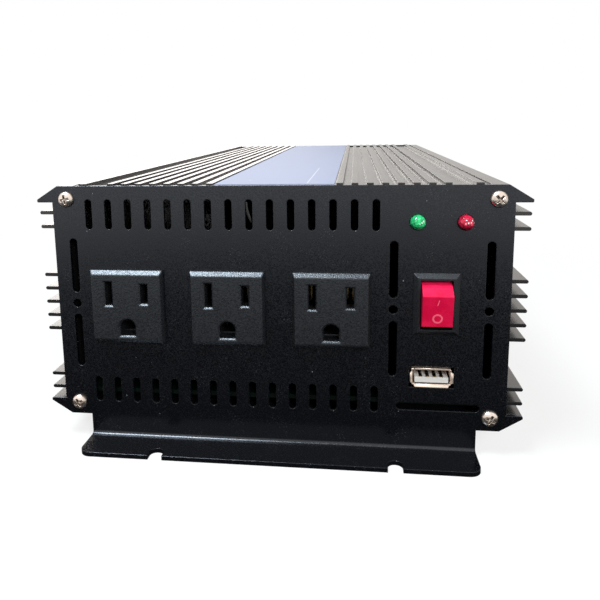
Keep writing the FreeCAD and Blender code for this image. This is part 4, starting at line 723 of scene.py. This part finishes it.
def makeOutlet(where, middle, v):
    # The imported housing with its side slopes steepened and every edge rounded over: the outer
    # edges by the whole bevel, and the edges of the slots by a share of it.
    node = f"{where}_outlet_housing"
    mesh = frame["nodes"][node].data.copy()
    form = bmesh.new()
    form.from_mesh(mesh)
    bmesh.ops.remove_doubles(form, verts=form.verts, dist=0.000002)
    bmesh.ops.dissolve_limit(form, angle_limit=0.02, verts=form.verts, edges=form.edges)
    form.to_mesh(mesh)
    form.free()
    points = np.empty(3 * len(mesh.vertices))
    mesh.vertices.foreach_get("co", points)
    points = points.reshape(-1, 3)
    aside = points[:, 0] - middle
    slope = np.abs(np.abs(aside) - v["flatHalf"]) < 0.00005
    slope &= np.abs(points[:, 1] - v["face"]) < 0.00001
    points[slope, 0] = middle + np.copysign(v["wideHalf"], aside[slope])
    mesh.vertices.foreach_set("co", points.ravel())
    ends = np.empty(2 * len(mesh.edges), int)
    mesh.edges.foreach_get("vertices", ends)
    centre = 0.5 * (points[:, 2].min() + points[:, 2].max())
    away = np.maximum(np.abs(points[:, 0] - middle), np.abs(points[:, 2] - centre))
    nearer = away[ends].reshape(-1, 2).min(1)
    share = mesh.attributes.new("bevel_weight_edge", "FLOAT", "EDGE")
    share.data.foreach_set("value", np.where(nearer > v["outer"], 1.0, v["slotBevel"]))
    mesh.polygons.foreach_set("use_smooth", [False] * len(mesh.polygons))
    mesh.update()
    piece = bpy.data.objects.new(where + "Outlet", mesh)
    roundOver = piece.modifiers.new("roundEdges", "BEVEL")
    roundOver.width = v["bevel"]
    roundOver.segments = 3
    roundOver.limit_method = "WEIGHT"
    stand(piece, node, "case")


for where, middle in outletCopy["middles"].items():
    makeOutlet(where, middle, outletCopy)
print("finer pieces made")

# floor, lights and camera

studio = {"floorSize": 6.0, "pale": rgb(0.86, 0.86, 0.86), "palePatch": rgb(0.89, 0.89, 0.89),
          "dark": rgb(0.035, 0.032, 0.03), "darkPatch": rgb(0.025, 0.025, 0.025), "patch": 6,
          "white": rgb(1, 1, 1), "lift": 0.75, "worldLight": 0.22,
          "skyTint": rgb(1.0, 0.965, 0.925), "clearFrom": 0.12, "clearTo": 0.60,
          "clearMiddle": (0.0, -0.27, 0.0)}


def makeFloor(v):
    half = v["floorSize"] / 2
    mesh = bpy.data.meshes.new("floor")
    low = cadBounds[0][2]
    corners = [(-half, -half, low), (half, -half, low), (half, half, low), (-half, half, low)]
    mesh.from_pydata(corners, [], [(0, 1, 2, 3)])
    floor = bpy.data.objects.new("floor", mesh)
    bpy.context.scene.collection.objects.link(floor)
    g = Recipe("paleFloor")
    here = g.place()
    cloud = g.noise(here, v["patch"], 2.0)
    pale = g.add("ShaderNodeBsdfDiffuse", None, {"Color": g.mix(cloud, v["pale"], v["palePatch"])})
    dark = g.add("ShaderNodeBsdfDiffuse", None, {"Color": g.mix(cloud, v["dark"], v["darkPatch"])})
    white = g.add("ShaderNodeEmission", None, {"Color": v["white"], "Strength": 1.0})
    away = g.add("ShaderNodeVectorMath", {"operation": "LENGTH"}, {0: g.place(v["clearMiddle"])},
                 "Value")
    # the camera sees a pale floor lifted towards white, and other rays a dark one that throws
    # little light back up; it clears to white further out, for the camera and in mirrorings
    near = g.blend(g.seen("Camera"), dark, g.blend(v["lift"], pale, white))
    clear = away.fade(v["clearFrom"], v["clearTo"]) * g.seen("Camera", "Glossy", "Transmission")
    g.add("ShaderNodeOutputMaterial", None, {"Surface": g.blend(clear, near, white)}, None)
    mesh.materials.append(g.material)


makeFloor(studio)


def makeWorld(v):
    world = bpy.data.worlds.new("studioWorld")
    bpy.context.scene.world = world
    g = Recipe("studioWorld", world)
    strength = v["worldLight"] + (1 - v["worldLight"]) * g.seen("Camera", "Glossy", "Transmission")
    colour = g.mix(g.seen("Camera"), v["skyTint"], v["white"])
    sky = g.add("ShaderNodeBackground", None, {"Color": colour, "Strength": strength})
    g.add("ShaderNodeOutputWorld", None, {"Surface": sky}, None)


makeWorld(studio)

# power in watts; a lamp that isn't mirrored lights the object but makes no highlight on it
lamps = {
    "keySoftbox": {"at": (-0.42, -0.42, 1.15), "towards": (0, -0.1, 0.05), "size": (0.56, 0.36),
                   "power": 15, "tint": (0.86, 0.94, 1.0)},
    "frontFill": {"at": (0.5, -1.15, 0.6), "towards": (0, -0.16, 0.05), "size": (0.6, 0.6),
                  "power": 16, "tint": (1.0, 1.0, 1.0), "mirrored": False},
    "backStrip": {"at": (-0.75, 1.3, 0.42), "towards": (0, 0, 0.09), "size": (1.6, 0.4),
                  "power": 6, "tint": (1.0, 0.96, 0.93)},
}


def makeLights(rows):
    for name, v in rows.items():
        data = bpy.data.lights.new(name, "AREA")
        data.shape = "RECTANGLE"
        data.size, data.size_y = v["size"]
        data.energy = v["power"]
        data.color = v["tint"]
        lamp = bpy.data.objects.new(name, data)
        bpy.context.scene.collection.objects.link(lamp)
        lamp.location = v["at"]
        way = Vector(v["towards"]) - Vector(v["at"])
        lamp.rotation_euler = way.to_track_quat("-Z", "Y").to_euler()
        lamp.visible_camera = False
        lamp.visible_glossy = v.get("mirrored", True)


makeLights(lamps)

# angles in degrees, focal length and film in millimetres
lens = {"at": (0.026715, -0.375888, 0.113868), "yaw": 7.677, "pitch": -9.747, "roll": 0.974,
        "focal": 38.742, "film": 36.0, "shift": (0.05276, -0.11448)}


def makeCamera(v):
    data = bpy.data.cameras.new("camera")
    data.lens = v["focal"]
    data.sensor_width = v["film"]
    data.shift_x, data.shift_y = v["shift"]
    data.clip_start = 0.01
    camera = bpy.data.objects.new("camera", data)
    bpy.context.scene.collection.objects.link(camera)
    turn = (Matrix.Rotation(math.radians(v["yaw"]), 4, "Z")
            @ Matrix.Rotation(math.radians(v["pitch"]), 4, "X")
            @ Matrix.Rotation(math.radians(v["roll"]), 4, "Y"))
    level = Matrix.Rotation(math.pi / 2, 4, "X")
    camera.matrix_world = Matrix.Translation(v["at"]) @ turn @ level
    bpy.context.scene.camera = camera


makeCamera(lens)
bpy.context.scene.view_settings.view_transform = "Standard"

print("scene ready")
